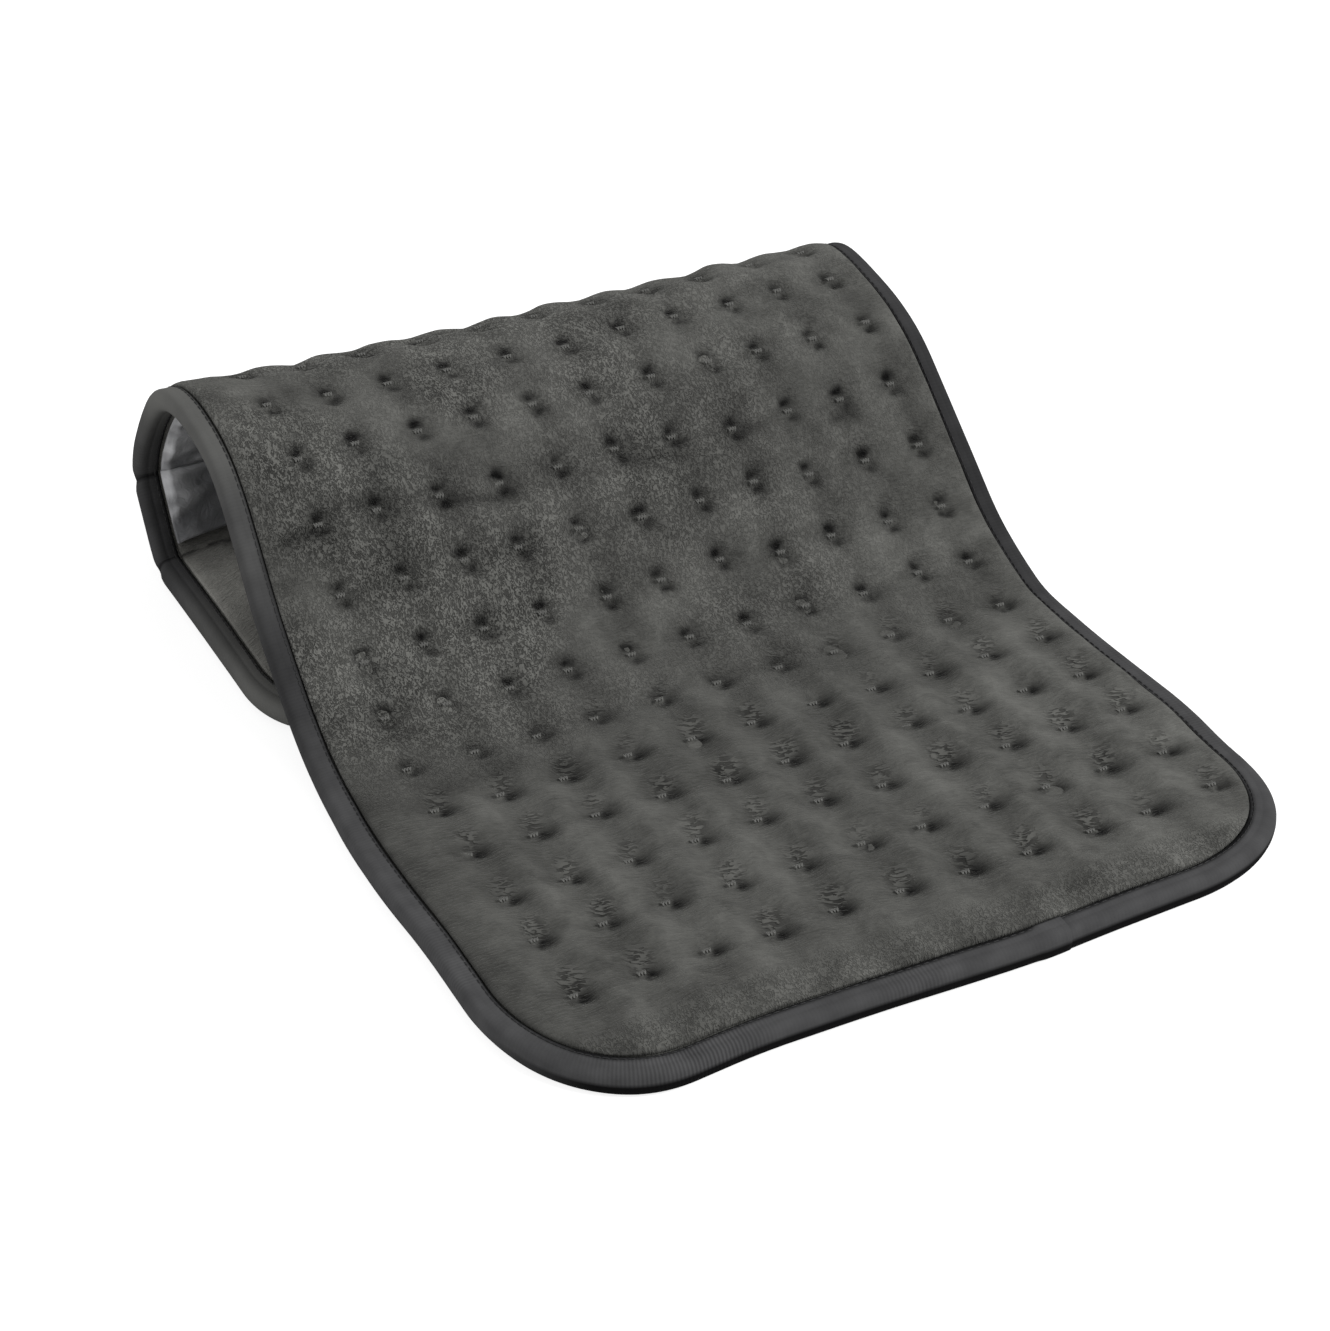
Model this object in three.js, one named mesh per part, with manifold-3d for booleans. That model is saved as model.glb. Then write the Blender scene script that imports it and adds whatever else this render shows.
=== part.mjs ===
// A plush heating pad, folded to stand as an arch, with the inlet that its cord plugs into.
// Millimetres. X runs across the pad, Y along it away from the near edge, and Z up.
// The pad is drawn flat first, by x across it, s along it from the near edge, and h above its middle
// surface, and place() then bends that flat pad along the arcs of the fold.
import * as THREE from 'three';
import { mergeVertices } from 'three/addons/utils/BufferGeometryUtils.js';
import Module from 'manifold-3d';

const wasm = await Module();
wasm.setup();

// The flat pad
const PAD_WIDTH = 300;
const PAD_LENGTH = 600;
const CORNER_RADIUS = 57;

// The grid of tufts
const TUFT_COLUMNS = 11;
const TUFT_ROWS = 20;
const LEFT_MARGIN = 32.7;
const RIGHT_MARGIN = 23.1;
const NEAR_MARGIN = 43;
const FAR_MARGIN = 51.6;

// The fold, along the middle surface
const CREST_HEIGHT = 84;
const RISE_RADIUS = 84;
const SHOULDER_RADIUS = 89;
const CREST_RADIUS = 52;
const HEEL_RADIUS = 16;
const FAR_EDGE_GAP = 12.4;
const RISE_DEGREES = 41.3;
const SHOULDER_DEGREES = 30.2;
const CREST_DEGREES = 59.4;
const REAR_DEGREES = 38.1;
const BEND_LIMIT_DEGREES = 20;

// The layers, as heights above and below the middle surface
const LAYER_GAP = 0.3;
const CROWN = 6.4;
const SADDLE = 5.7;
const TUFT_FLOOR = 3.1;
const FLAT_CUT = 0.5;
const COVER_EDGE = 3.4;
const COVER_UNDERSIDE = 2.3;
const UPPER_WADDING = 0.7;
const WIRE_DIAMETER = 1.2;
const CARRIER = 0.4;
const LOWER_WADDING = 1.2;
const LINING = 2;
const COVER_INSET = 2.7;
const COVER_STEP = 5.8;
const CROWN_INSET = 14;
const CORE_INSET = 12;

// The tape round the edge
const TAPE_THICKNESS = 0.8;
const TAPE_OVERLAP = 8.6;
const TAPE_NOSE = 2.1;
const CORNER_STEPS = 7;

// The heating wire and what is on it
const RETURN_LANE = 17;
const LANE_BEND = 10;
const TAIL_FROM_FAR_EDGE = 47;
const CRIMP_FROM_MIDDLE = 30;
const CRIMP_LENGTH = 7;
const CRIMP_WIDTH = 2.6;
const WIRE_SIDES = 6;
const TURN_STEPS = 6;
const CUTOUT_LENGTH = 14;
const CUTOUT_WIDTH = 7;
const SENSOR_LENGTH = 9;
const SENSOR_WIDTH = 4.5;
const POCKET_GAP = 0.6;
const CUTOUT_ROWS = [2, 18];
const SENSOR_ROW = 8;

// The care label
const LABEL_WIDTH = 58;
const LABEL_THICKNESS = 0.5;
const LABEL_ROWS = [12.5, 15];

// The inlet, from its mouth inward, to either side of its middle and up from the lining
const INLET_FROM_FAR_EDGE = 18;
const INLET_CORNER = 3;
const FLANGE_REACH = 4;
const FLANGE_THICKNESS = 1.4;
const SHELL_WALL = 1.6;
const ROOF_THICKNESS = 1.6;
const CLEARANCE = 0.3;
const OVERRUN = 1;

// The passage for the plug
const PASSAGE_HALF = 9.3;
const PASSAGE_HEIGHT = 5.8;
const PASSAGE_DEPTH = 19;
const PASSAGE_RIB = 1.2;
const FLOOR_OVER_LATCH = 0.4;
const SPLIT_OVER_FLOOR = 1.5;

// The release latch, a frame round the passage with the button on top
const LATCH_FRONT = 6.5;
const LATCH_DEPTH = 6;
const LATCH_BAR = 1.3;
const LATCH_LEG = 1.4;
const LATCH_SLOT_GAP = 0.5;
const LATCH_TRAVEL = 1.5;
const BUTTON_HALF = 6;
const BUTTON_PROUD = 1.2;
const TOOTH_HALF = 5;
const TOOTH_PROUD = 0.8;
const TOOTH_SET_BACK = 1.5;

// The latch springs
const SPRING_RADIUS = 1.5;
const SPRING_WIRE = 0.5;
const SPRING_PLAY = 0.4;
const SPRING_TURNS = 4;
const SPRING_STEPS = 8;
const SPRING_SIDES = 5;

// The contacts and the circuit board
const BLOCK_DEPTH = 5.2;
const PIN_COUNT = 3;
const PIN_PITCH = 5;
const PIN_RADIUS = 1;
const PIN_REACH = 9.8;
const PIN_TAIL = 3;
const BOARD_LENGTH = 17.3;
const BOARD_THICKNESS = 1.2;
const BOARD_POST = 1.3;
const BOARD_POST_SET_IN = 1.8;

// The screws and the clamp plate
const SCREW_SHANK = 1;
const SCREW_HEAD = 2;
const SCREW_HEAD_HEIGHT = 0.9;
const BOSS_RADIUS = 2.7;
const CLAMP_SCREW_SPACING = 10;
const BOSS_APART = 2.7;
const CLAMP_PLATE_MARGIN = 4.5;
const BOSS_ROOF = 0.7;
const LEAD_HOLE = 5.5;
const SPIGOT_WALL = 1.4;
const LEAD_APART = 3.6;
const LEAD_BEND = 1.6;
const ROUND_SIDES = 14;
const PLATE_STEPS = 5;

const RISE_TURN = THREE.MathUtils.degToRad(RISE_DEGREES);
const SHOULDER_TURN = THREE.MathUtils.degToRad(SHOULDER_DEGREES);
const CREST_TURN = THREE.MathUtils.degToRad(CREST_DEGREES);
const REAR_TURN = THREE.MathUtils.degToRad(REAR_DEGREES);
const BEND_LIMIT = THREE.MathUtils.degToRad(BEND_LIMIT_DEGREES);
const HALF_WIDTH = PAD_WIDTH / 2;
const COLUMN_PITCH = (PAD_WIDTH - LEFT_MARGIN - RIGHT_MARGIN) / (TUFT_COLUMNS - 1);
const ROW_PITCH = (PAD_LENGTH - NEAR_MARGIN - FAR_MARGIN) / (TUFT_ROWS - 1);
const FIRST_COLUMN = LEFT_MARGIN - HALF_WIDTH;

// Faces of the layers from the plush down to the lining
const UPPER_WADDING_TOP = COVER_UNDERSIDE - LAYER_GAP;
const UPPER_WADDING_BOTTOM = UPPER_WADDING_TOP - UPPER_WADDING;
const WIRE_TOP = UPPER_WADDING_BOTTOM - LAYER_GAP;
const WIRE_HEIGHT = WIRE_TOP - WIRE_DIAMETER / 2;
const WIRE_BOTTOM = WIRE_TOP - WIRE_DIAMETER;
const CARRIER_TOP = WIRE_BOTTOM - LAYER_GAP;
const CARRIER_BOTTOM = CARRIER_TOP - CARRIER;
const LOWER_WADDING_TOP = CARRIER_BOTTOM - LAYER_GAP;
const LOWER_WADDING_BOTTOM = LOWER_WADDING_TOP - LOWER_WADDING;
const LINING_TOP = LOWER_WADDING_BOTTOM - LAYER_GAP;
const LINING_BOTTOM = LINING_TOP - LINING;
const TAPE_POCKET = COVER_EDGE + LAYER_GAP;
const TAPE_FACE = TAPE_POCKET + TAPE_THICKNESS;
const POCKET_INSET = TAPE_OVERLAP + TAPE_THICKNESS;

// The middle surface of the fold: one straight or arc after another
const FRONT_LEVEL = -LINING_BOTTOM;
const RETURN_LEVEL = CROWN - FLAT_CUT;
const CREST_RISE_TURN = RISE_TURN - SHOULDER_TURN;
const CREST_FALL_TURN = CREST_TURN - CREST_RISE_TURN;
const STEEPEST_TURN = CREST_FALL_TURN + REAR_TURN;
const HEEL_TURN = Math.PI - STEEPEST_TURN;
const ARC_RISE = RISE_RADIUS * (1 - Math.cos(RISE_TURN))
  + SHOULDER_RADIUS * (Math.cos(CREST_RISE_TURN) - Math.cos(RISE_TURN))
  + CREST_RADIUS * (1 - Math.cos(CREST_RISE_TURN));
const RAMP_LENGTH = (CREST_HEIGHT - FRONT_LEVEL - ARC_RISE) / Math.sin(RISE_TURN);
const REAR_FALL = CREST_HEIGHT - RETURN_LEVEL - CREST_RADIUS * (1 - Math.cos(CREST_FALL_TURN))
  - HEEL_RADIUS * (1 + Math.cos(STEEPEST_TURN));
const REAR_RADIUS = REAR_FALL / (Math.cos(CREST_FALL_TURN) - Math.cos(STEEPEST_TURN));
const ARCH = [
  { length: RISE_RADIUS * RISE_TURN, turn: RISE_TURN },
  { length: RAMP_LENGTH, turn: 0 },
  { length: SHOULDER_RADIUS * SHOULDER_TURN, turn: -SHOULDER_TURN },
  { length: CREST_RADIUS * CREST_TURN, turn: -CREST_TURN },
  { length: REAR_RADIUS * REAR_TURN, turn: -REAR_TURN },
  { length: HEEL_RADIUS * HEEL_TURN, turn: -HEEL_TURN },
];
const ARCH_LENGTH = ARCH.reduce((sum, piece) => sum + piece.length, 0);

function follow(pieces, s) {
  let y = 0;
  let z = FRONT_LEVEL;
  let angle = 0;
  let left = s;
  for (const piece of pieces) {
    const run = Math.min(left, piece.length);
    const turn = piece.turn * run / piece.length;
    const chord = turn === 0 ? run : run * Math.sin(turn / 2) / (turn / 2);
    y += chord * Math.cos(angle + turn / 2);
    z += chord * Math.sin(angle + turn / 2);
    angle += turn;
    left -= run;
  }
  return { y, z, angle };
}

// The far edge lies a gap behind where the rising part comes down to the height of the return part
const SLOPE_OUTSIDE = RISE_RADIUS - LINING_BOTTOM;
const FOOT_COSINE = (RISE_RADIUS + FRONT_LEVEL - RETURN_LEVEL - TAPE_FACE) / SLOPE_OUTSIDE;
const SLOPE_FOOT = SLOPE_OUTSIDE * Math.sqrt(1 - FOOT_COSINE * FOOT_COSINE);
const RETURN_LENGTH = follow(ARCH, ARCH_LENGTH).y - SLOPE_FOOT - FAR_EDGE_GAP;
const FRONT_LENGTH = PAD_LENGTH - ARCH_LENGTH - RETURN_LENGTH;
const FOLD = [{ length: FRONT_LENGTH, turn: 0 }, ...ARCH, { length: RETURN_LENGTH, turn: 0 }];
const middle = (s) => follow(FOLD, s);

// Stations are the places along the pad where its layers may bend, so all layers bend together
function tuftStation(row) {
  return NEAR_MARGIN + row * ROW_PITCH;
}

function buildStations() {
  const stations = [0];
  for (let quarter = 0; quarter <= 4 * (TUFT_ROWS - 1); quarter += 1) {
    const s = tuftStation(quarter / 4);
    const bend = Math.abs(middle(s + ROW_PITCH / 4).angle - middle(s - ROW_PITCH / 4).angle);
    if (quarter % 2 === 0 || bend > BEND_LIMIT) stations.push(s);
  }
  stations.push(PAD_LENGTH);
  return stations;
}
const STATIONS = buildStations();
const FRAMES = STATIONS.map(middle);

function place(x, s, h) {
  let k = 0;
  while (k < STATIONS.length - 2 && STATIONS[k + 1] < s) k += 1;
  const share = (s - STATIONS[k]) / (STATIONS[k + 1] - STATIONS[k]);
  const [a, b] = [FRAMES[k], FRAMES[k + 1]];
  const y = (1 - share) * (a.y - h * Math.sin(a.angle)) + share * (b.y - h * Math.sin(b.angle));
  const z = (1 - share) * (a.z + h * Math.cos(a.angle)) + share * (b.z + h * Math.cos(b.angle));
  return new THREE.Vector3(x, y, z);
}

// Half the pad's width at s, on an outline drawn inside the edge by an inset
function halfWidth(inset, s) {
  const radius = CORNER_RADIUS - inset;
  const fromEnd = Math.max(Math.min(s, PAD_LENGTH - s) - inset, 0);
  const rise = Math.max(radius - fromEnd, 0);
  return HALF_WIDTH - CORNER_RADIUS + Math.sqrt(radius * radius - rise * rise);
}

function closedGeometry(points, triangles) {
  let volume = 0;
  for (const [a, b, c] of triangles) {
    volume += points[a].dot(new THREE.Vector3().crossVectors(points[b], points[c]));
  }
  const faces = volume < 0 ? triangles.map(([a, b, c]) => [a, c, b]) : triangles;
  const geometry = new THREE.BufferGeometry().setFromPoints(points);
  geometry.setIndex(faces.flat());
  geometry.computeVertexNormals();
  return geometry;
}

// Laces two rows of points into triangles, like place to like place, and then across the shorter way
function lace(triangles, points, one, two) {
  const far = { at: Infinity };
  const reach = (a, b) => points[a.index].distanceTo(points[b.index]);
  let i = 0;
  let j = 0;
  while (i < one.length - 1 || j < two.length - 1) {
    const [nextOne, nextTwo] = [one[i + 1] ?? far, two[j + 1] ?? far];
    const alike = nextOne.at === nextTwo.at;
    const stepOne = alike ? reach(nextOne, two[j]) <= reach(one[i], nextTwo) : nextOne.at < nextTwo.at;
    triangles.push([one[i].index, stepOne ? nextOne.index : nextTwo.index, two[j].index]);
    if (stepOne) i += 1;
    else j += 1;
  }
}

// A layer of the pad: rows of points across it, each given by its x, its height and its place in the row
function layerGeometry(rows, bend = place) {
  const points = [];
  const numbered = (s, face) => face.map(([x, h, at]) => ({ index: points.push(bend(x, s, h)) - 1, at }));
  const upper = rows.map((row) => numbered(row.s, row.upper));
  const lower = rows.map((row) => numbered(row.s, row.lower));
  const triangles = [];
  const push = (...corners) => triangles.push(corners.map((corner) => corner.index));
  for (let k = 0; k < rows.length - 1; k += 1) {
    const [a, b, c, d] = [upper[k], upper[k + 1], lower[k + 1], lower[k]];
    lace(triangles, points, a, b);
    lace(triangles, points, c, d);
    push(a[0], b[0], d[0]);
    push(b[0], c[0], d[0]);
    push(a.at(-1), d.at(-1), b.at(-1));
    push(b.at(-1), d.at(-1), c.at(-1));
  }
  lace(triangles, points, lower[0], upper[0]);
  lace(triangles, points, upper.at(-1), lower.at(-1));
  return closedGeometry(points, triangles);
}

// A row that is the same to left and right: its places count down to the edges, with others between
const EDGE_PLACE = 4;

function mirrored(half, between = []) {
  const right = half.map(([x, h], i) => [x, h, EDGE_PLACE - i]);
  const left = right.map(([x, h, at]) => [-x, h, -at]);
  return [...left, ...between.map(([x, h]) => [x, h, x / HALF_WIDTH]), ...right.reverse()];
}

// Rows of a cover near one end, as distances from that end
const COVER_END_ROWS = [COVER_INSET, COVER_STEP, POCKET_INSET, CROWN_INSET, NEAR_MARGIN - ROW_PITCH / 2];

function coverStations() {
  const near = COVER_END_ROWS.map((fromEnd) => ({ s: fromEnd, fromEnd }));
  const inner = STATIONS.slice(1, -1).map((s) => ({ s, fromEnd: Math.min(s, PAD_LENGTH - s) }));
  const far = COVER_END_ROWS.map((fromEnd) => ({ s: PAD_LENGTH - fromEnd, fromEnd })).reverse();
  return [...near, ...inner, ...far];
}

// Points across a cover from its edge in, before any tufts
function coverMargin({ s, fromEnd }, edge, crown) {
  const half = [[halfWidth(COVER_INSET, s), edge]];
  if (fromEnd >= POCKET_INSET) half.push([halfWidth(POCKET_INSET, s), edge]);
  if (fromEnd >= CROWN_INSET) half.push([halfWidth(CROWN_INSET, s), crown]);
  return half;
}

// The plush cover: crowned between the tufts, sewn down in them, and flat where it lies on the floor
const HEEL_START = FRONT_LENGTH + ARCH_LENGTH - HEEL_RADIUS * HEEL_TURN;
const FIRST_FORMED_ROW = -0.5;
const LAST_FORMED_ROW = Math.ceil((HEEL_START - NEAR_MARGIN) / ROW_PITCH) + 0.5;

function tuftedHeights(s) {
  const halfRow = Math.round((s - NEAR_MARGIN) / (ROW_PITCH / 2));
  const points = [];
  for (let halfColumn = 0; halfColumn <= 2 * (TUFT_COLUMNS - 1); halfColumn += 1) {
    const onRow = halfRow % 2 === 0;
    const onColumn = halfColumn % 2 === 0;
    const betweenHeight = onRow || onColumn ? SADDLE : CROWN;
    const h = onRow && onColumn ? TUFT_FLOOR : betweenHeight;
    points.push([FIRST_COLUMN + halfColumn * COLUMN_PITCH / 2, h]);
  }
  return points;
}

function coverOnFloor(x, s, h) {
  const point = place(x, s, h);
  point.z = Math.max(point.z, 0);
  return point;
}

function topCover() {
  const rows = coverStations().map((station) => {
    const { s } = station;
    const row = (s - NEAR_MARGIN) / ROW_PITCH;
    const tufted = row > FIRST_FORMED_ROW - 1 / 4 && row < LAST_FORMED_ROW + 1 / 4;
    const margin = coverMargin(station, COVER_EDGE, tufted ? SADDLE : CROWN);
    const upper = mirrored(margin, tufted ? tuftedHeights(s) : []);
    const edge = halfWidth(COVER_INSET, s);
    return { s, upper, lower: mirrored([[edge, COVER_UNDERSIDE]]) };
  });
  return layerGeometry(rows, coverOnFloor);
}

function lining() {
  const rows = coverStations().map((station) => {
    const { s } = station;
    const edge = halfWidth(COVER_INSET, s);
    const lower = mirrored(coverMargin(station, -COVER_EDGE, LINING_BOTTOM));
    return { s, upper: mirrored([[edge, LINING_TOP]]), lower };
  });
  return layerGeometry(rows);
}

// A plain sheet inside the pad between two heights
function coreSheet(bottom, top) {
  const radius = CORNER_RADIUS - CORE_INSET;
  const ends = [0, 1, 2].map((step) => CORE_INSET + radius * (1 - Math.cos(step * Math.PI / 8)));
  const far = ends.map((e) => PAD_LENGTH - e).reverse();
  const rows = [...ends, ...STATIONS.slice(1, -1), ...far].map((s) => {
    const edge = halfWidth(CORE_INSET, s);
    return { s, upper: mirrored([[edge, top]]), lower: mirrored([[edge, bottom]]) };
  });
  return layerGeometry(rows);
}

// The tape: one closed ring of a folded section, led round the edge of the pad
function edgeRun() {
  const run = [];
  const straight = STATIONS.filter((s) => s > CORNER_RADIUS && s < PAD_LENGTH - CORNER_RADIUS);
  const corner = (x, s, from) => {
    for (let step = 0; step <= CORNER_STEPS; step += 1) {
      const angle = from + step * Math.PI / 2 / CORNER_STEPS;
      const [nx, ns] = [Math.cos(angle), Math.sin(angle)];
      run.push({ x: x + CORNER_RADIUS * nx, s: s + CORNER_RADIUS * ns, nx, ns });
    }
  };
  const acrossCentre = HALF_WIDTH - CORNER_RADIUS;
  corner(acrossCentre, CORNER_RADIUS, -Math.PI / 2);
  straight.forEach((s) => run.push({ x: HALF_WIDTH, s, nx: 1, ns: 0 }));
  corner(acrossCentre, PAD_LENGTH - CORNER_RADIUS, 0);
  corner(-acrossCentre, PAD_LENGTH - CORNER_RADIUS, Math.PI / 2);
  [...straight].reverse().forEach((s) => run.push({ x: -HALF_WIDTH, s, nx: -1, ns: 0 }));
  corner(-acrossCentre, CORNER_RADIUS, Math.PI);
  return run;
}

function edgeBinding() {
  const half = [
    [TAPE_OVERLAP, TAPE_FACE], [TAPE_NOSE, TAPE_FACE], [0, TAPE_FACE - TAPE_NOSE],
  ];
  const pocket = [
    [TAPE_THICKNESS, TAPE_POCKET - TAPE_NOSE + TAPE_THICKNESS], [TAPE_NOSE + LAYER_GAP, TAPE_POCKET],
    [TAPE_OVERLAP, TAPE_POCKET],
  ];
  const below = (points) => [...points].reverse().map(([d, h]) => [d, -h]);
  const section = [...half, ...below(half), ...below(pocket), ...pocket];
  const run = edgeRun();
  const points = [];
  const triangles = [];
  for (const at of run) {
    for (const [d, h] of section) points.push(place(at.x - at.nx * d, at.s - at.ns * d, h));
  }
  const count = section.length;
  run.forEach((_, k) => {
    const next = (k + 1) % run.length;
    for (let i = 0; i < count; i += 1) {
      const j = (i + 1) % count;
      const [a, b, c, d] = [k * count + i, k * count + j, next * count + j, next * count + i];
      triangles.push([a, b, c], [a, c, d]);
    }
  });
  return closedGeometry(points, triangles);
}

// The same shape with each corner's points merged into one
function welded(geometry) {
  const plain = geometry.clone();
  plain.deleteAttribute('uv');
  plain.deleteAttribute('normal');
  return mergeVertices(plain);
}

// Turns a flat drawing in x, s and h into its place in the folded pad
function bent(geometry) {
  const merged = welded(geometry);
  const position = merged.getAttribute('position');
  for (let i = 0; i < position.count; i += 1) {
    const point = place(position.getX(i), position.getY(i), position.getZ(i));
    position.setXYZ(i, point.x, point.y, point.z);
  }
  merged.computeVertexNormals();
  return merged;
}

// A path that steps from each of its points to the next, and turns halfway at each
class PointPath extends THREE.Curve {
  constructor(points) {
    super();
    this.points = points;
  }

  getPointAt(share) {
    return this.points[Math.round(share * (this.points.length - 1))].clone();
  }

  getTangentAt(share) {
    const last = this.points.length - 1;
    const i = Math.round(share * last);
    const step = (k) => new THREE.Vector3().subVectors(this.points[k + 1], this.points[k]).normalize();
    return step(Math.max(i - 1, 0)).add(step(Math.min(i, last - 1))).normalize();
  }
}

function wireGeometry(points, diameter, sides) {
  const section = new THREE.Shape();
  for (let k = 0; k < sides; k += 1) {
    const angle = 2 * Math.PI * (k + 0.5) / sides;
    const [x, y] = [Math.cos(angle) * diameter / 2, Math.sin(angle) * diameter / 2];
    if (k === 0) section.moveTo(x, y);
    else section.lineTo(x, y);
  }
  return new THREE.ExtrudeGeometry(section, { steps: points.length - 1, extrudePath: new PointPath(points) });
}

// The heating wire: out along one side, then to and fro between the rows of tufts
const TAIL_STATION = PAD_LENGTH - TAIL_FROM_FAR_EDGE;
const TURN_RADIUS = ROW_PITCH / 2;
const RIGHT_APEX = HALF_WIDTH - RIGHT_MARGIN - COLUMN_PITCH / 2;
const LEFT_APEX = FIRST_COLUMN + COLUMN_PITCH / 2;
const CRIMP_END = CRIMP_FROM_MIDDLE + CRIMP_LENGTH / 2 + LAYER_GAP;

function arcPoints(x, s, radius, from, turn) {
  const points = [];
  for (let step = 0; step <= TURN_STEPS; step += 1) {
    const angle = from + turn * step / TURN_STEPS;
    points.push([x + radius * Math.cos(angle), s + radius * Math.sin(angle)]);
  }
  return points;
}

function heatingWire() {
  const lane = HALF_WIDTH - RETURN_LANE;
  const firstRun = tuftStation(0.5);
  const lastRun = tuftStation(TUFT_ROWS - 1.5);
  const flat = [[CRIMP_END, TAIL_STATION]];
  flat.push(...arcPoints(lane - LANE_BEND, TAIL_STATION - LANE_BEND, LANE_BEND, Math.PI / 2, -Math.PI / 2));
  const between = STATIONS.filter((s) => s > firstRun + LANE_BEND && s < TAIL_STATION - LANE_BEND);
  between.reverse().forEach((s) => flat.push([lane, s]));
  flat.push(...arcPoints(lane - LANE_BEND, firstRun + LANE_BEND, LANE_BEND, 0, -Math.PI / 2));
  for (let run = 0; run < TUFT_ROWS - 2; run += 1) {
    const s = tuftStation(run + 1);
    const goesLeft = run % 2 === 0;
    const centre = goesLeft ? LEFT_APEX + TURN_RADIUS : RIGHT_APEX - TURN_RADIUS;
    flat.push(...arcPoints(centre, s, TURN_RADIUS, -Math.PI / 2, goesLeft ? -Math.PI : Math.PI));
  }
  const tailRadius = (TAIL_STATION - lastRun) / 2;
  flat.push(...arcPoints(LEFT_APEX + tailRadius, lastRun + tailRadius, tailRadius, -Math.PI / 2, -Math.PI));
  flat.push([-CRIMP_END, TAIL_STATION]);
  const path = flat.map(([x, s]) => new THREE.Vector3(x, s, WIRE_HEIGHT));
  return bent(wireGeometry(path, WIRE_DIAMETER, WIRE_SIDES));
}

// Closed solids that are joined and cut
function solid(geometry) {
  const merged = welded(geometry);
  return new wasm.Manifold(new wasm.Mesh({
    numProp: 3,
    vertProperties: new Float32Array(merged.getAttribute('position').array),
    triVerts: new Uint32Array(merged.getIndex().array),
  }));
}

function fromSolid(shape) {
  const { vertProperties, triVerts, numProp } = shape.getMesh();
  const geometry = new THREE.BufferGeometry();
  const points = [];
  for (let i = 0; i < vertProperties.length; i += numProp) {
    points.push(vertProperties[i], vertProperties[i + 1], vertProperties[i + 2]);
  }
  geometry.setAttribute('position', new THREE.Float32BufferAttribute(points, 3));
  geometry.setIndex([...triVerts]);
  geometry.computeVertexNormals();
  return geometry;
}

function join(...shapes) {
  return shapes.reduce((whole, shape) => whole.add(shape));
}

function cut(shape, ...tools) {
  return tools.reduce((rest, tool) => rest.subtract(tool), shape);
}

// Sets both ends of a standing shape exactly at their heights, so that faces meant to meet do meet
function standing(geometry, [z0, z1]) {
  const position = geometry.getAttribute('position');
  for (let i = 0; i < position.count; i += 1) position.setZ(i, position.getZ(i) > 0 ? z1 : z0);
  return solid(geometry);
}

function block([x0, x1], [y0, y1], rise) {
  const outline = new THREE.Shape();
  outline.moveTo(x0, y0);
  outline.lineTo(x1, y0);
  outline.lineTo(x1, y1);
  outline.lineTo(x0, y1);
  return standing(new THREE.ExtrudeGeometry(outline, { bevelEnabled: false }), rise);
}

function post(x, y, rise, radius) {
  const rod = new THREE.CylinderGeometry(radius, radius, 1, ROUND_SIDES);
  rod.rotateX(Math.PI / 2);
  rod.translate(x, y, 0);
  return standing(rod, rise);
}

// A plate with round corners, drawn in x and y
function plate([x0, x1], [y0, y1], rise, radius) {
  const shape = new THREE.Shape();
  shape.moveTo(x0 + radius, y0);
  shape.absarc(x1 - radius, y0 + radius, radius, -Math.PI / 2, 0);
  shape.absarc(x1 - radius, y1 - radius, radius, 0, Math.PI / 2);
  shape.absarc(x0 + radius, y1 - radius, radius, Math.PI / 2, Math.PI);
  shape.absarc(x0 + radius, y0 + radius, radius, Math.PI, Math.PI * 3 / 2);
  const options = { bevelEnabled: false, curveSegments: PLATE_STEPS };
  return standing(new THREE.ExtrudeGeometry(shape, options), rise);
}

const both = (half) => [-half, half];

// The inlet's own frame: y from its mouth inward, z up from the lining it is clamped to
const INLET_STATION = PAD_LENGTH - INLET_FROM_FAR_EDGE;
const INLET_ORIGIN = place(0, INLET_STATION, LINING_BOTTOM);
const localHeight = (h) => LINING_BOTTOM - h;
const FLANGE_TOP = CLEARANCE + FLANGE_THICKNESS;
const LATCH_FOOT = FLANGE_TOP + LATCH_SLOT_GAP + LATCH_TRAVEL;
const PASSAGE_FLOOR = LATCH_FOOT + LATCH_BAR + FLOOR_OVER_LATCH;
const PASSAGE_CEILING = PASSAGE_FLOOR + PASSAGE_HEIGHT;
const SPLIT_HEIGHT = PASSAGE_FLOOR + SPLIT_OVER_FLOOR;
const SHOULDER_BOTTOM = PASSAGE_CEILING + LATCH_TRAVEL;
const SHOULDER_TOP = SHOULDER_BOTTOM + LATCH_BAR;
const ROOF_INSIDE = SHOULDER_TOP + CLEARANCE;
const ROOF_TOP = ROOF_INSIDE + ROOF_THICKNESS;
const RIB_OUTSIDE = PASSAGE_HALF + PASSAGE_RIB;
const LATCH_BACK = LATCH_FRONT + LATCH_DEPTH;
const LATCH_SLOT = [LATCH_FRONT - CLEARANCE, LATCH_BACK + CLEARANCE];
const PASSAGE_BANDS = [[0, LATCH_SLOT[0]], [LATCH_SLOT[1], PASSAGE_DEPTH]];
const LEG_INSIDE = PASSAGE_HALF + LATCH_SLOT_GAP;
const LEG_OUTSIDE = LEG_INSIDE + LATCH_LEG;
const SPRING_ROOM = 2 * SPRING_RADIUS + SPRING_WIRE + SPRING_PLAY;
const INSIDE_HALF = LEG_OUTSIDE + CLEARANCE + SPRING_ROOM;
const INLET_HALF = INSIDE_HALF + SHELL_WALL;
const SPRING_SEAT = [LEG_OUTSIDE + CLEARANCE, INSIDE_HALF + SHELL_WALL / 2];
const SPRING_X = INSIDE_HALF - SPRING_ROOM / 2;
const SPRING_Y = LATCH_FRONT + LATCH_DEPTH / 2;
const SHOULDER_HALF = INSIDE_HALF - CLEARANCE;
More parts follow.
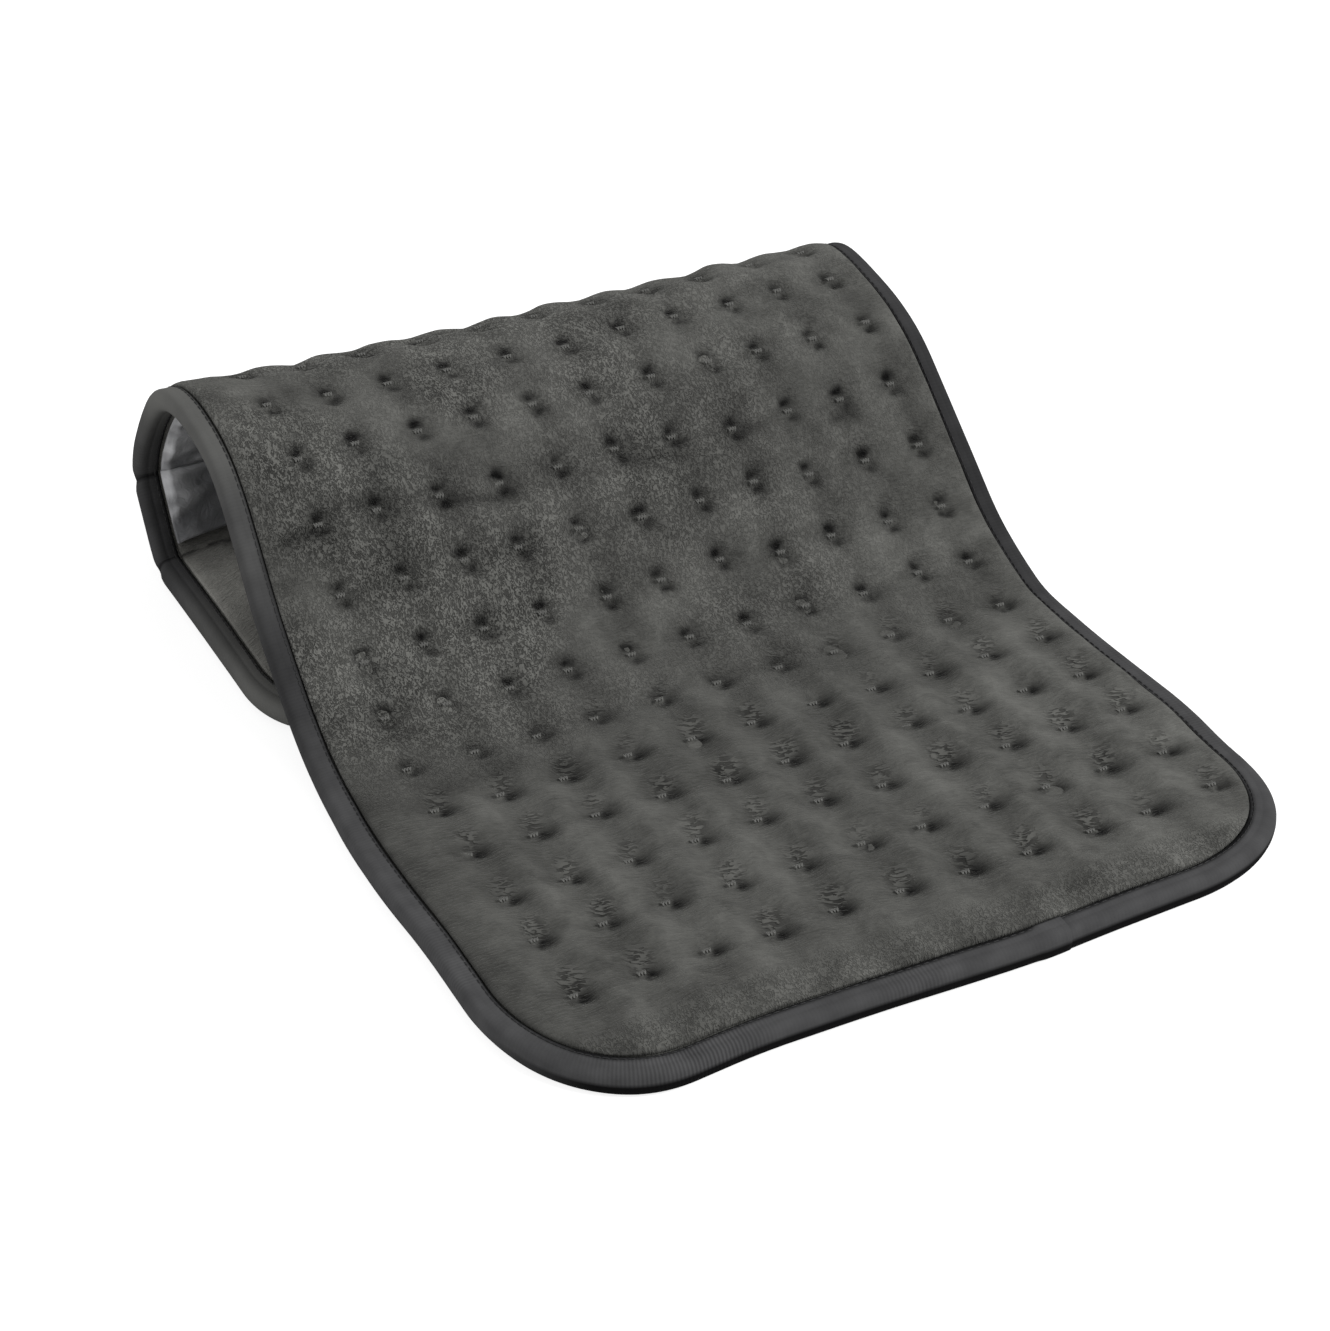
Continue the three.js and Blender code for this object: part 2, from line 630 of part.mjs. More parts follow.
const BLOCK_FRONT = PASSAGE_DEPTH + CLEARANCE;
const BLOCK_BACK = BLOCK_FRONT + BLOCK_DEPTH;
const PIN_HEIGHT = (PASSAGE_FLOOR + PASSAGE_CEILING) / 2;
const BOARD_FRONT = BLOCK_BACK + CLEARANCE;
const BOARD_BACK = BOARD_FRONT + BOARD_LENGTH;
const BOARD_TOP = PIN_HEIGHT - PIN_RADIUS - CLEARANCE;
const BOARD_BOTTOM = BOARD_TOP - BOARD_THICKNESS;
const INSIDE_BACK = BOARD_BACK + CLEARANCE;
const INLET_LENGTH = INSIDE_BACK + SHELL_WALL;
const LEAD_CENTRE = TAIL_FROM_FAR_EDGE - INLET_FROM_FAR_EDGE;
const SCREW_HOLE = SCREW_SHANK + CLEARANCE;
const BOSS_ACROSS = INSIDE_HALF + SHELL_WALL / 4 - BOSS_RADIUS;
const COVER_SCREW_Y = INSIDE_BACK + SHELL_WALL / 4 - BOSS_RADIUS;
const CLAMP_SCREW_SECOND = COVER_SCREW_Y - 2 * BOSS_RADIUS - BOSS_APART;
const CLAMP_SCREW_FIRST = CLAMP_SCREW_SECOND - CLAMP_SCREW_SPACING;
const CLAMP_SCREWS = [CLAMP_SCREW_FIRST, CLAMP_SCREW_SECOND].flatMap(
  (y) => both(BOSS_ACROSS).map((x) => [x, y]));
const COVER_SCREWS = both(BOSS_ACROSS).map((x) => [x, COVER_SCREW_Y]);
const BOARD_POSTS = [BOARD_BACK - BOARD_POST_SET_IN, BOARD_FRONT + BOARD_POST_SET_IN].flatMap(
  (y) => both(PASSAGE_HALF - BOARD_POST_SET_IN).map((x) => [x, y]));
const CLAMP_PLATE_X = BOSS_ACROSS + CLAMP_PLATE_MARGIN;
const CLAMP_PLATE_Y = [CLAMP_SCREW_FIRST - CLAMP_PLATE_MARGIN, CLAMP_SCREW_SECOND + CLAMP_PLATE_MARGIN];
const CLAMP_TOP = localHeight(LOWER_WADDING_BOTTOM);
const CLAMP_BOTTOM = localHeight(LOWER_WADDING_TOP);

function shellWalls([z0, z1]) {
  const outside = plate(both(INLET_HALF), [0, INLET_LENGTH], [z0, z1], INLET_CORNER);
  const inside = plate(both(INSIDE_HALF), [SHELL_WALL, INSIDE_BACK], [z0 - OVERRUN, z1 + OVERRUN],
    INLET_CORNER - SHELL_WALL);
  return cut(outside, inside);
}

function sideRibs(band, rise) {
  const left = block([-RIB_OUTSIDE, -PASSAGE_HALF], band, rise);
  return join(left, block([PASSAGE_HALF, RIB_OUTSIDE], band, rise));
}

function inletBase() {
  const flangeHalf = INLET_HALF + FLANGE_REACH;
  const rise = [CLEARANCE, SPLIT_HEIGHT];
  const parts = [
    plate(both(flangeHalf), [-FLANGE_REACH / 2, INLET_LENGTH + FLANGE_REACH], [CLEARANCE, FLANGE_TOP],
      INLET_CORNER + FLANGE_REACH / 2),
    shellWalls(rise),
    ...PASSAGE_BANDS.map((band) => block(both(RIB_OUTSIDE), band, [CLEARANCE, PASSAGE_FLOOR])),
    ...PASSAGE_BANDS.map((band) => sideRibs(band, rise)),
    block(SPRING_SEAT, [LATCH_FRONT, LATCH_BACK], rise),
    block([-SPRING_SEAT[1], -SPRING_SEAT[0]], [LATCH_FRONT, LATCH_BACK], rise),
    ...[...CLAMP_SCREWS, ...COVER_SCREWS].map(([x, y]) => post(x, y, rise, BOSS_RADIUS)),
    ...BOARD_POSTS.map(([x, y]) => post(x, y, [CLEARANCE, BOARD_BOTTOM - CLEARANCE], BOARD_POST)),
    post(0, LEAD_CENTRE, [CLAMP_TOP + CLEARANCE, FLANGE_TOP - FLANGE_THICKNESS / 2], LEAD_HOLE + SPIGOT_WALL),
  ];
  const tools = [
    block(both(PASSAGE_HALF), [-FLANGE_REACH, PASSAGE_DEPTH], [PASSAGE_FLOOR, SPLIT_HEIGHT + OVERRUN]),
    post(0, LEAD_CENTRE, [CLAMP_BOTTOM, FLANGE_TOP + OVERRUN], LEAD_HOLE),
    ...CLAMP_SCREWS.map(([x, y]) => post(x, y, [CLAMP_BOTTOM, SPLIT_HEIGHT - BOSS_ROOF], SCREW_HOLE)),
    ...COVER_SCREWS.map(([x, y]) => post(x, y, [FLANGE_TOP, SPLIT_HEIGHT + OVERRUN], SCREW_HOLE)),
  ];
  return cut(join(...parts), ...tools);
}

function inletCover() {
  const rise = [SPLIT_HEIGHT + CLEARANCE, ROOF_TOP];
  const counterbore = ROOF_TOP - SCREW_HEAD_HEIGHT - CLEARANCE;
  const parts = [
    shellWalls(rise),
    plate(both(INLET_HALF), [0, INLET_LENGTH], [ROOF_INSIDE, ROOF_TOP], INLET_CORNER),
    ...PASSAGE_BANDS.map((band) => block(both(RIB_OUTSIDE), band, [PASSAGE_CEILING, ROOF_TOP])),
    ...PASSAGE_BANDS.map((band) => sideRibs(band, rise)),
    ...COVER_SCREWS.map(([x, y]) => post(x, y, rise, BOSS_RADIUS)),
  ];
  const tools = [
    block(both(PASSAGE_HALF), [-FLANGE_REACH, PASSAGE_DEPTH], [SPLIT_HEIGHT, PASSAGE_CEILING]),
    block(both(BUTTON_HALF + CLEARANCE), LATCH_SLOT, [ROOF_INSIDE - OVERRUN, ROOF_TOP + OVERRUN]),
    ...COVER_SCREWS.map(([x, y]) => post(x, y, [SPLIT_HEIGHT, ROOF_TOP + OVERRUN], SCREW_HOLE)),
    ...COVER_SCREWS.map(([x, y]) => post(x, y, [counterbore, ROOF_TOP + OVERRUN], SCREW_HEAD + CLEARANCE)),
  ];
  return cut(join(...parts), ...tools);
}

function releaseLatch() {
  const depth = [LATCH_FRONT, LATCH_BACK];
  const tooth = [LATCH_FRONT + TOOTH_SET_BACK, LATCH_BACK - TOOTH_SET_BACK];
  return join(
    block(both(SHOULDER_HALF), depth, [SHOULDER_BOTTOM, SHOULDER_TOP]),
    block(both(BUTTON_HALF), depth, [SHOULDER_BOTTOM, ROOF_TOP + BUTTON_PROUD]),
    block([LEG_INSIDE, LEG_OUTSIDE], depth, [LATCH_FOOT, SHOULDER_TOP]),
    block([-LEG_OUTSIDE, -LEG_INSIDE], depth, [LATCH_FOOT, SHOULDER_TOP]),
    block(both(LEG_OUTSIDE), depth, [LATCH_FOOT, LATCH_FOOT + LATCH_BAR]),
    block(both(TOOTH_HALF), tooth, [LATCH_FOOT, PASSAGE_FLOOR + TOOTH_PROUD]),
  );
}

function latchSpring() {
  const bottom = SPLIT_HEIGHT + CLEARANCE + SPRING_WIRE / 2;
  const top = SHOULDER_BOTTOM - CLEARANCE - SPRING_WIRE / 2;
  const points = [];
  for (let step = 0; step <= SPRING_TURNS * SPRING_STEPS; step += 1) {
    const share = step / (SPRING_TURNS * SPRING_STEPS);
    const angle = 2 * Math.PI * SPRING_TURNS * share;
    const z = bottom + (top - bottom) * share;
    points.push(new THREE.Vector3(SPRING_RADIUS * Math.cos(angle), SPRING_RADIUS * Math.sin(angle), z));
  }
  return welded(wireGeometry(points, SPRING_WIRE, SPRING_SIDES));
}

const PIN_PLACES = Array.from({ length: PIN_COUNT }, (_, i) => (i - (PIN_COUNT - 1) / 2) * PIN_PITCH);

function pinRod(x, [y0, y1], radius) {
  const rod = new THREE.CylinderGeometry(radius, radius, y1 - y0, ROUND_SIDES);
  rod.translate(x, (y0 + y1) / 2, PIN_HEIGHT);
  return rod;
}

function contactBlock() {
  const rise = [FLANGE_TOP + CLEARANCE, ROOF_INSIDE - CLEARANCE];
  const body = block(both(PASSAGE_HALF), [BLOCK_FRONT, BLOCK_BACK], rise);
  const holes = PIN_PLACES.map((x) => solid(
    pinRod(x, [BLOCK_FRONT - OVERRUN, BLOCK_BACK + OVERRUN], PIN_RADIUS + CLEARANCE)));
  return cut(body, ...holes);
}

function screw([zHead, zEnd]) {
  const rise = Math.sign(zEnd - zHead);
  const headEnd = zHead + rise * SCREW_HEAD_HEIGHT;
  return join(
    post(0, 0, [Math.min(zHead, headEnd), Math.max(zHead, headEnd)], SCREW_HEAD),
    post(0, 0, [Math.min(zHead, zEnd), Math.max(zHead, zEnd)], SCREW_SHANK),
  );
}

function clampPlate() {
  const body = plate(both(CLAMP_PLATE_X), CLAMP_PLATE_Y, [CLAMP_BOTTOM, CLAMP_TOP], INLET_CORNER);
  const through = [CLAMP_BOTTOM - OVERRUN, CLAMP_TOP + OVERRUN];
  const holes = CLAMP_SCREWS.map(([x, y]) => post(x, y, through, SCREW_HOLE));
  return cut(body, ...holes, post(0, LEAD_CENTRE, through, LEAD_HOLE));
}

// What is cut through the layers of the pad for the inlet
const CUT_DEPTH = [localHeight(CROWN), OVERRUN];
const atInlet = (shape) => shape.translate([INLET_ORIGIN.x, INLET_ORIGIN.y, INLET_ORIGIN.z]);

function plateWindow() {
  const y = [CLAMP_PLATE_Y[0] - POCKET_GAP, CLAMP_PLATE_Y[1] + POCKET_GAP];
  return atInlet(block(both(CLAMP_PLATE_X + POCKET_GAP), y, CUT_DEPTH));
}

function liningHoles() {
  const holes = CLAMP_SCREWS.map(([x, y]) => post(x, y, CUT_DEPTH, SCREW_HOLE));
  holes.push(post(0, LEAD_CENTRE, CUT_DEPTH, LEAD_HOLE + SPIGOT_WALL + CLEARANCE));
  return holes.map(atInlet);
}

// Small flat bodies that lie in the wire's layer, given by their middle in x and s
function flatBody([x, s], [length, width], [bottom, top]) {
  const box = new THREE.BoxGeometry(length, width, top - bottom);
  box.translate(x, s, (bottom + top) / 2);
  return bent(box);
}

const CUTOUT_COLUMN = FIRST_COLUMN + COLUMN_PITCH * (Math.floor(TUFT_COLUMNS / 2) - 0.5);
const CUTOUTS = CUTOUT_ROWS.map((row) => [CUTOUT_COLUMN, tuftStation(row)]);
const SENSOR = [CUTOUT_COLUMN, tuftStation(SENSOR_ROW)];

function upperWadding() {
  const sheet = solid(coreSheet(UPPER_WADDING_BOTTOM, UPPER_WADDING_TOP));
  const windows = [
    ...CUTOUTS.map((at) => [at, [CUTOUT_LENGTH, CUTOUT_WIDTH]]),
    [SENSOR, [SENSOR_LENGTH, SENSOR_WIDTH]],
  ];
  const tools = windows.map(([at, [length, width]]) => solid(
    flatBody(at, [length + POCKET_GAP, width + POCKET_GAP], [WIRE_BOTTOM, COVER_UNDERSIDE])));
  return cut(sheet, ...tools);
}

function lead(way) {
  const points = [[CRIMP_FROM_MIDDLE - CRIMP_LENGTH / 2 - LAYER_GAP, WIRE_HEIGHT]];
  for (let step = 0; step <= TURN_STEPS / 2; step += 1) {
    const angle = Math.PI * step / TURN_STEPS;
    const x = LEAD_APART + LEAD_BEND * (1 - Math.sin(angle));
    points.push([x, WIRE_HEIGHT - LEAD_BEND * (1 - Math.cos(angle))]);
  }
  points.push([LEAD_APART, LINING_BOTTOM - BOARD_BOTTOM + CLEARANCE]);
  const path = points.map(([x, h]) => new THREE.Vector3(way * x, TAIL_STATION, h));
  return bent(wireGeometry(path, WIRE_DIAMETER, WIRE_SIDES));
}

function careLabel() {
  const x0 = POCKET_INSET - HALF_WIDTH;
  const top = LINING_BOTTOM - LAYER_GAP;
  const [from, to] = LABEL_ROWS.map(tuftStation);
  const stations = [from, ...STATIONS.filter((s) => s > from && s < to), to];
  const across = (h) => [[x0, h, -EDGE_PLACE], [x0 + LABEL_WIDTH, h, EDGE_PLACE]];
  const rows = stations.map((s) => ({ s, upper: across(top), lower: across(top - LABEL_THICKNESS) }));
  return layerGeometry(rows);
}

const MATERIALS = {
  plush: { color: '#4f4f4d', roughness: 0.95 },
  lining: { color: '#5a5955', roughness: 0.95 },
  tape: { color: '#464648', roughness: 0.85 },
  satin: { color: '#9a9a9a', roughness: 0.35 },
  wadding: { color: '#dcdad4', roughness: 1 },
  felt: { color: '#c4beb0', roughness: 1 },
  silicone: { color: '#a8412c', roughness: 0.6 },
  lead: { color: '#d9d4c4', roughness: 0.6 },
  sleeve: { color: '#b9a86a', roughness: 0.7 },
  tin: { color: '#c8c9cb', roughness: 0.35, metalness: 1 },
  nylon: { color: '#232325', roughness: 0.6 },
  button: { color: '#3a3a3d', roughness: 0.5 },
  insulator: { color: '#e6e1d4', roughness: 0.6 },
  brass: { color: '#c9a24b', roughness: 0.3, metalness: 1 },
  laminate: { color: '#2f5a38', roughness: 0.6 },
  steel: { color: '#9b9da0', roughness: 0.35, metalness: 1 },
};

function named(name, geometry, material) {
  const mesh = new THREE.Mesh(geometry, new THREE.MeshStandardMaterial(MATERIALS[material]));
  mesh.name = name;
  return mesh;
}

const pad = new THREE.Group();
const carrier = cut(solid(coreSheet(CARRIER_BOTTOM, CARRIER_TOP)), plateWindow());
const lowerWadding = cut(solid(coreSheet(LOWER_WADDING_BOTTOM, LOWER_WADDING_TOP)), plateWindow());
pad.add(
  named('top_cover', topCover(), 'plush'),
  named('upper_wadding', fromSolid(upperWadding()), 'wadding'),
  named('heating_wire', heatingWire(), 'silicone'),
  named('heater_carrier', fromSolid(carrier), 'felt'),
  named('lower_wadding', fromSolid(lowerWadding), 'wadding'),
  named('lining', fromSolid(cut(solid(lining()), ...liningHoles())), 'lining'),
  named('edge_binding', edgeBinding(), 'tape'),
  named('care_label', careLabel(), 'satin'),
);
CUTOUTS.forEach((at, i) => {
  const body = flatBody(at, [CUTOUT_LENGTH, CUTOUT_WIDTH], [WIRE_BOTTOM, UPPER_WADDING_TOP]);
  pad.add(named(`thermal_cutout_${i + 1}`, body, 'sleeve'));
});
pad.add(named('temperature_sensor',
  flatBody(SENSOR, [SENSOR_LENGTH, SENSOR_WIDTH], [WIRE_BOTTOM, UPPER_WADDING_TOP]), 'sleeve'));
[1, -1].forEach((way, i) => {
  const at = [way * CRIMP_FROM_MIDDLE, TAIL_STATION];
  pad.add(named(`crimp_${i + 1}`, flatBody(at, [CRIMP_LENGTH, CRIMP_WIDTH], [WIRE_BOTTOM, WIRE_TOP]), 'tin'));
  pad.add(named(`lead_${i + 1}`, lead(way), 'lead'));
});

const inlet = new THREE.Group();
inlet.position.copy(INLET_ORIGIN);
const board = block(both(PASSAGE_HALF), [BOARD_FRONT, BOARD_BACK], [BOARD_BOTTOM, BOARD_TOP]);
inlet.add(
  named('inlet_base', fromSolid(inletBase()), 'nylon'),
  named('inlet_cover', fromSolid(inletCover()), 'nylon'),
  named('clamp_plate', fromSolid(clampPlate()), 'nylon'),
  named('release_latch', fromSolid(releaseLatch()), 'button'),
  named('contact_block', fromSolid(contactBlock()), 'insulator'),
  named('circuit_board', fromSolid(board), 'laminate'),
);
both(SPRING_X).forEach((x, i) => {
  const spring = named(`latch_spring_${i + 1}`, latchSpring(), 'steel');
  spring.position.set(x, SPRING_Y, 0);
  inlet.add(spring);
});
PIN_PLACES.forEach((x, i) => {
  const rod = pinRod(x, [PIN_REACH, BLOCK_BACK + PIN_TAIL], PIN_RADIUS);
  inlet.add(named(`contact_pin_${i + 1}`, fromSolid(solid(rod)), 'brass'));
});
CLAMP_SCREWS.forEach(([x, y], i) => {
  const head = CLAMP_BOTTOM - CLEARANCE - SCREW_HEAD_HEIGHT;
  const mesh = named(`clamp_screw_${i + 1}`, fromSolid(screw([head, SPLIT_HEIGHT - 2 * BOSS_ROOF])), 'steel');
  mesh.position.set(x, y, 0);
  inlet.add(mesh);
});
COVER_SCREWS.forEach(([x, y], i) => {
  const mesh = named(`cover_screw_${i + 1}`, fromSolid(screw([ROOF_TOP, FLANGE_TOP + BOSS_ROOF])), 'steel');
  mesh.position.set(x, y, 0);
  inlet.add(mesh);
});

// The origin is the middle of the folded pad's footprint, on the floor
const part = new THREE.Group();
part.add(pad, inlet);
const footprint = new THREE.Box3().setFromObject(part);
part.position.set(0, -(footprint.min.y + footprint.max.y) / 2, 0);
part.updateMatrixWorld(true);

export default part;
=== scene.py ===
import math

import bpy
import numpy as np
from mathutils import Matrix, Vector, geometry


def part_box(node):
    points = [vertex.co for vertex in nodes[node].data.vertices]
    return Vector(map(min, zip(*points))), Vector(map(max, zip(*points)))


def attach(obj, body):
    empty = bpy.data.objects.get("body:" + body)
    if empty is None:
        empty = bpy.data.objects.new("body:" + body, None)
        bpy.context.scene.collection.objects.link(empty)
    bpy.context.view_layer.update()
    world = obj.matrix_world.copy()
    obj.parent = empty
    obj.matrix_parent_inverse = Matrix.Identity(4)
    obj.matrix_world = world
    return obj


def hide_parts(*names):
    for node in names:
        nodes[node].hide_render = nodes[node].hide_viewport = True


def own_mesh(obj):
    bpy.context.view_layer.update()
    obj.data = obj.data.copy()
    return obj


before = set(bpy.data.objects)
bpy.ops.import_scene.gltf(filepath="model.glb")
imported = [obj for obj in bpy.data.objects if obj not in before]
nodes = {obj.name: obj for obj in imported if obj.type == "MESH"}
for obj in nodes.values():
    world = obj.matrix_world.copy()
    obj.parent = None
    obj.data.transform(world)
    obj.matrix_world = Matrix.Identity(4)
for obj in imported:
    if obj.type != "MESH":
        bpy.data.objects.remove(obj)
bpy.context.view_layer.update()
MM = 0.001

# Camera
# The pad is seen from above its near left corner through a long lens, so its sides stay nearly parallel.
# Its place and angles are in the part's own frame, and its lens follows from the size of the image.
CAMERA_PLACE = (-0.3857, -0.7829, 0.6060)
CAMERA_TURN = math.radians(-25.69)
CAMERA_DOWN = math.radians(34.4)
CAMERA_ROLL = math.radians(-0.25)
FOCAL_PIXELS = 2859.7
IMAGE_PIXELS = 1331
SENSOR = 36

camera_data = bpy.data.cameras.new("camera")
camera_data.sensor_width = SENSOR
camera_data.lens = FOCAL_PIXELS / IMAGE_PIXELS * SENSOR
camera = bpy.data.objects.new("camera", camera_data)
camera.matrix_world = (
    Matrix.Translation(CAMERA_PLACE)
    @ Matrix.Rotation(CAMERA_TURN, 4, "Z")
    @ Matrix.Rotation(math.pi / 2 - CAMERA_DOWN, 4, "X")
    @ Matrix.Rotation(CAMERA_ROLL, 4, "Z")
)
bpy.context.collection.objects.link(camera)
bpy.context.scene.camera = camera

# Top cover
# Crushed polyester plush, cut as a round-cornered sheet and sewn through the pad in rows of bar tacks.
# The tacks draw it in, the wadding swells it between them, and its edge rolls over the tape.

# The pad is drawn flat in millimetres, by x across it, s along it from the near edge and h above its
# middle surface. bend() lays that drawing along the fold that the pad stands in.
PAD_WIDTH = 300
PAD_LENGTH = 600
CORNER_RADIUS = 57
CREST_HEIGHT = 84
RISE_RADIUS = 84
SHOULDER_RADIUS = 89
CREST_RADIUS = 52
HEEL_RADIUS = 16
FAR_EDGE_GAP = 12.4
RISE_TURN, SHOULDER_TURN, CREST_TURN, REAR_TURN = np.radians([41.3, 30.2, 59.4, 38.1])
CROWN = 6.4
LINING_FACE = 4.7
TAPE_FACE = 4.5
FLAT_CUT = 0.5
FOLD_STEP = 0.5
FOLD_SMOOTHING = 7

# On the left the rear leg is drawn forward and kinked, halfway down and again where it meets the floor
LEG_RADIUS = 41.4
KINK_RADIUS = 4
LEG_TURN, KINK_TURN = np.radians([45, 37.5])
KINK_SMOOTHING = 2

front_level = LINING_FACE
return_level = CROWN - FLAT_CUT
crest_rise = RISE_TURN - SHOULDER_TURN
crest_fall = CREST_TURN - crest_rise
steepest = crest_fall + REAR_TURN
arc_rise = (
    RISE_RADIUS * (1 - math.cos(RISE_TURN))
    + SHOULDER_RADIUS * (math.cos(crest_rise) - math.cos(RISE_TURN))
    + CREST_RADIUS * (1 - math.cos(crest_rise))
)
ramp_length = (CREST_HEIGHT - front_level - arc_rise) / math.sin(RISE_TURN)
rear_fall = (
    CREST_HEIGHT - return_level
    - CREST_RADIUS * (1 - math.cos(crest_fall))
    - HEEL_RADIUS * (1 + math.cos(steepest))
)
rear_radius = rear_fall / (math.cos(crest_fall) - math.cos(steepest))
heel_turn = math.pi - steepest
leg_end = crest_fall + LEG_TURN
shin = leg_end + KINK_TURN
shin_drop = (
    CREST_HEIGHT - return_level
    - CREST_RADIUS * (1 - math.cos(crest_fall))
    - LEG_RADIUS * (math.cos(crest_fall) - math.cos(leg_end))
    - KINK_RADIUS * (math.cos(leg_end) + 1)
)
climb = [
    (RISE_RADIUS * RISE_TURN, RISE_TURN),
    (ramp_length, 0),
    (SHOULDER_RADIUS * SHOULDER_TURN, -SHOULDER_TURN),
    (CREST_RADIUS * CREST_TURN, -CREST_TURN),
]
arch = [*climb, (rear_radius * REAR_TURN, -REAR_TURN), (HEEL_RADIUS * heel_turn, -heel_turn)]
left_arch = [
    *climb,
    (LEG_RADIUS * LEG_TURN, -LEG_TURN),
    (KINK_RADIUS * KINK_TURN, -KINK_TURN),
    (shin_drop / math.sin(shin), 0),
    (KINK_RADIUS * (math.pi - shin), shin - math.pi),
]


def fold_line(pieces, smoothing=FOLD_SMOOTHING):
    """Steps along the middle surface, and its place and slope at each."""
    ends = np.concatenate([[0], np.cumsum([length for length, _ in pieces])])
    slopes = np.concatenate([[0], np.cumsum([turn for _, turn in pieces])])
    steps = np.arange(-PAD_LENGTH, 2 * PAD_LENGTH, FOLD_STEP)
    window = np.hanning(2 * int(smoothing / FOLD_STEP) + 1)
    slope = np.convolve(np.interp(steps, ends, slopes), window / window.sum(), "same")
    slope[steps < 0] = 0
    y = np.concatenate([[0], np.cumsum(np.cos(slope))[:-1]]) * FOLD_STEP
    z = np.concatenate([[0], np.cumsum(np.sin(slope))[:-1]]) * FOLD_STEP
    start = np.searchsorted(steps, 0)
    return steps, y - y[start], z - z[start] + front_level, slope


arch_length = sum(length for length, _ in arch)
arch_reach = np.interp(arch_length, *fold_line(arch)[:2])
slope_outside = RISE_RADIUS + LINING_FACE
foot_cosine = (RISE_RADIUS + front_level - return_level - TAPE_FACE) / slope_outside
return_length = arch_reach - slope_outside * math.sqrt(1 - foot_cosine**2) - FAR_EDGE_GAP
front_length = PAD_LENGTH - arch_length - return_length
line_s, *right_line = fold_line([(front_length, 0), *arch, (return_length, 0)])
left_line = fold_line([(front_length, 0), *left_arch, (return_length, 0)], KINK_SMOOTHING)[1:]
near_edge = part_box("edge_binding")[0].y / MM

# How far each side wanders towards the middle, and the near edge outwards, in a few places along them
LEFT_WANDER = (
    [0, 40, 90, 120, 150, 180, 220, 255, 290, 320, 345, 370, 395, 420, 460, 500, 540, 600],
    [2, 4.8, 3.4, 0.8, 0, 1.6, 2.8, 2.6, 4.2, 5.4, 3.4, 1.8, 1.2, -4.2, -5.6, -3.6, -2, -1],
)
RIGHT_WANDER = (
    [0, 20, 40, 60, 90, 140, 175, 200, 220, 240, 280, 320, 345, 370, 420, 600],
    [-7, -6.4, -3, -1.0, -2.6, 1.6, 2.6, 0.7, 1.2, 1.6, 3.2, 4.8, 5.8, 2.6, 0, 0],
)
NEAR_WANDER = ([-150, -110, -70, -30, 30, 60, 100, 140], [7.4, 6.6, 2.2, 1.8, 3.0, 0.6, -1.6, -0.8])
WANDER_REACH = 60
# How far the crest sags in its middle and at its right end and lifts at its left end, and how far forward
# the left side of the part under the arch is drawn
CREST_SAG = ([0, 270, 320, 350, 385, 420, 600], [0, 0, 1.5, 2.3, 1.6, 0, 0])
RIGHT_SAG = ([0, 300, 338, 372, 600], [0, 0, 3.0, 0, 0])
LEFT_LIFT = ([0, 325, 365, 400, 600], [0, 0, 1.8, 0, 0])
FAR_FORWARD = ([0, 470, 570, 600], [0, 0, 11, 11])
KINKED_FROM = -40
KINKED_GROWTH = 1.3
EASING = (-9, -3, 3, 9)


def eased(at, table):
    """Values between the few that a table gives, rounded at each of them."""
    places, values = table
    return sum(np.interp(at + shift, places, values) for shift in EASING) / len(EASING)


def ramp(value, start, end):
    """0 up to the start, 1 from the end on, and even between them."""
    return np.clip((value - start) / (end - start), 0, 1)


def bend(x, s, h):
    """Places in metres, one row each, of points of the flat drawing, and none of them below the floor."""
    half = PAD_WIDTH / 2
    kinked = ramp(x, KINKED_FROM, -half) ** KINKED_GROWTH
    y, z = 0, 0
    for line, share in ((right_line, 1 - kinked), (left_line, kinked)):
        slope = np.interp(s, line_s, line[2])
        y = y + share * (np.interp(s, line_s, line[0]) - h * np.sin(slope))
        z = z + share * (np.interp(s, line_s, line[1]) + h * np.cos(slope))
    left, right = ramp(x, 0, -half), ramp(x, 0, half)
    y = y - ramp(s, WANDER_REACH, 0) * eased(x, NEAR_WANDER) - kinked**2 * eased(s, FAR_FORWARD)
    z = z - (1 - (x / half) ** 2) * eased(s, CREST_SAG)
    z = z + left**4 * eased(s, LEFT_LIFT) - right**4 * eased(s, RIGHT_SAG)
    moved = x + left**2 * eased(s, LEFT_WANDER) - right**2 * eased(s, RIGHT_WANDER)
    return np.stack([moved, near_edge + y, np.maximum(z, 0)], axis=-1) * MM


# The tacks, in a grid that the sewing has left a little uneven, each drawn in by its own pull and linked to
# its neighbours by creases of different strength
TUFT_COLUMNS = 11
TUFT_ROWS = 20
LEFT_MARGIN = 32.7
RIGHT_MARGIN = 23.1
NEAR_MARGIN = 43
FAR_MARGIN = 51.6
TUFT_SCATTER = 0.7
PULL_SHARES = (0.8, 1.2)
LINK_SHARES = (0.1, 1.0)
column_pitch = (PAD_WIDTH - LEFT_MARGIN - RIGHT_MARGIN) / (TUFT_COLUMNS - 1)
row_pitch = (PAD_LENGTH - NEAR_MARGIN - FAR_MARGIN) / (TUFT_ROWS - 1)
first_column = LEFT_MARGIN - PAD_WIDTH / 2
chance = np.random.default_rng(11)
tuft_row, tuft_column = np.meshgrid(np.arange(TUFT_ROWS), np.arange(TUFT_COLUMNS), indexing="ij")
tuft_x = first_column + column_pitch * tuft_column + chance.normal(0, TUFT_SCATTER, tuft_row.shape)
tuft_s = NEAR_MARGIN + row_pitch * tuft_row + chance.normal(0, TUFT_SCATTER, tuft_row.shape)
tuft_pull = chance.uniform(*PULL_SHARES, tuft_row.shape)
row_link = chance.uniform(*LINK_SHARES, tuft_row.shape) ** 2
column_link = chance.uniform(*LINK_SHARES, tuft_row.shape) ** 2
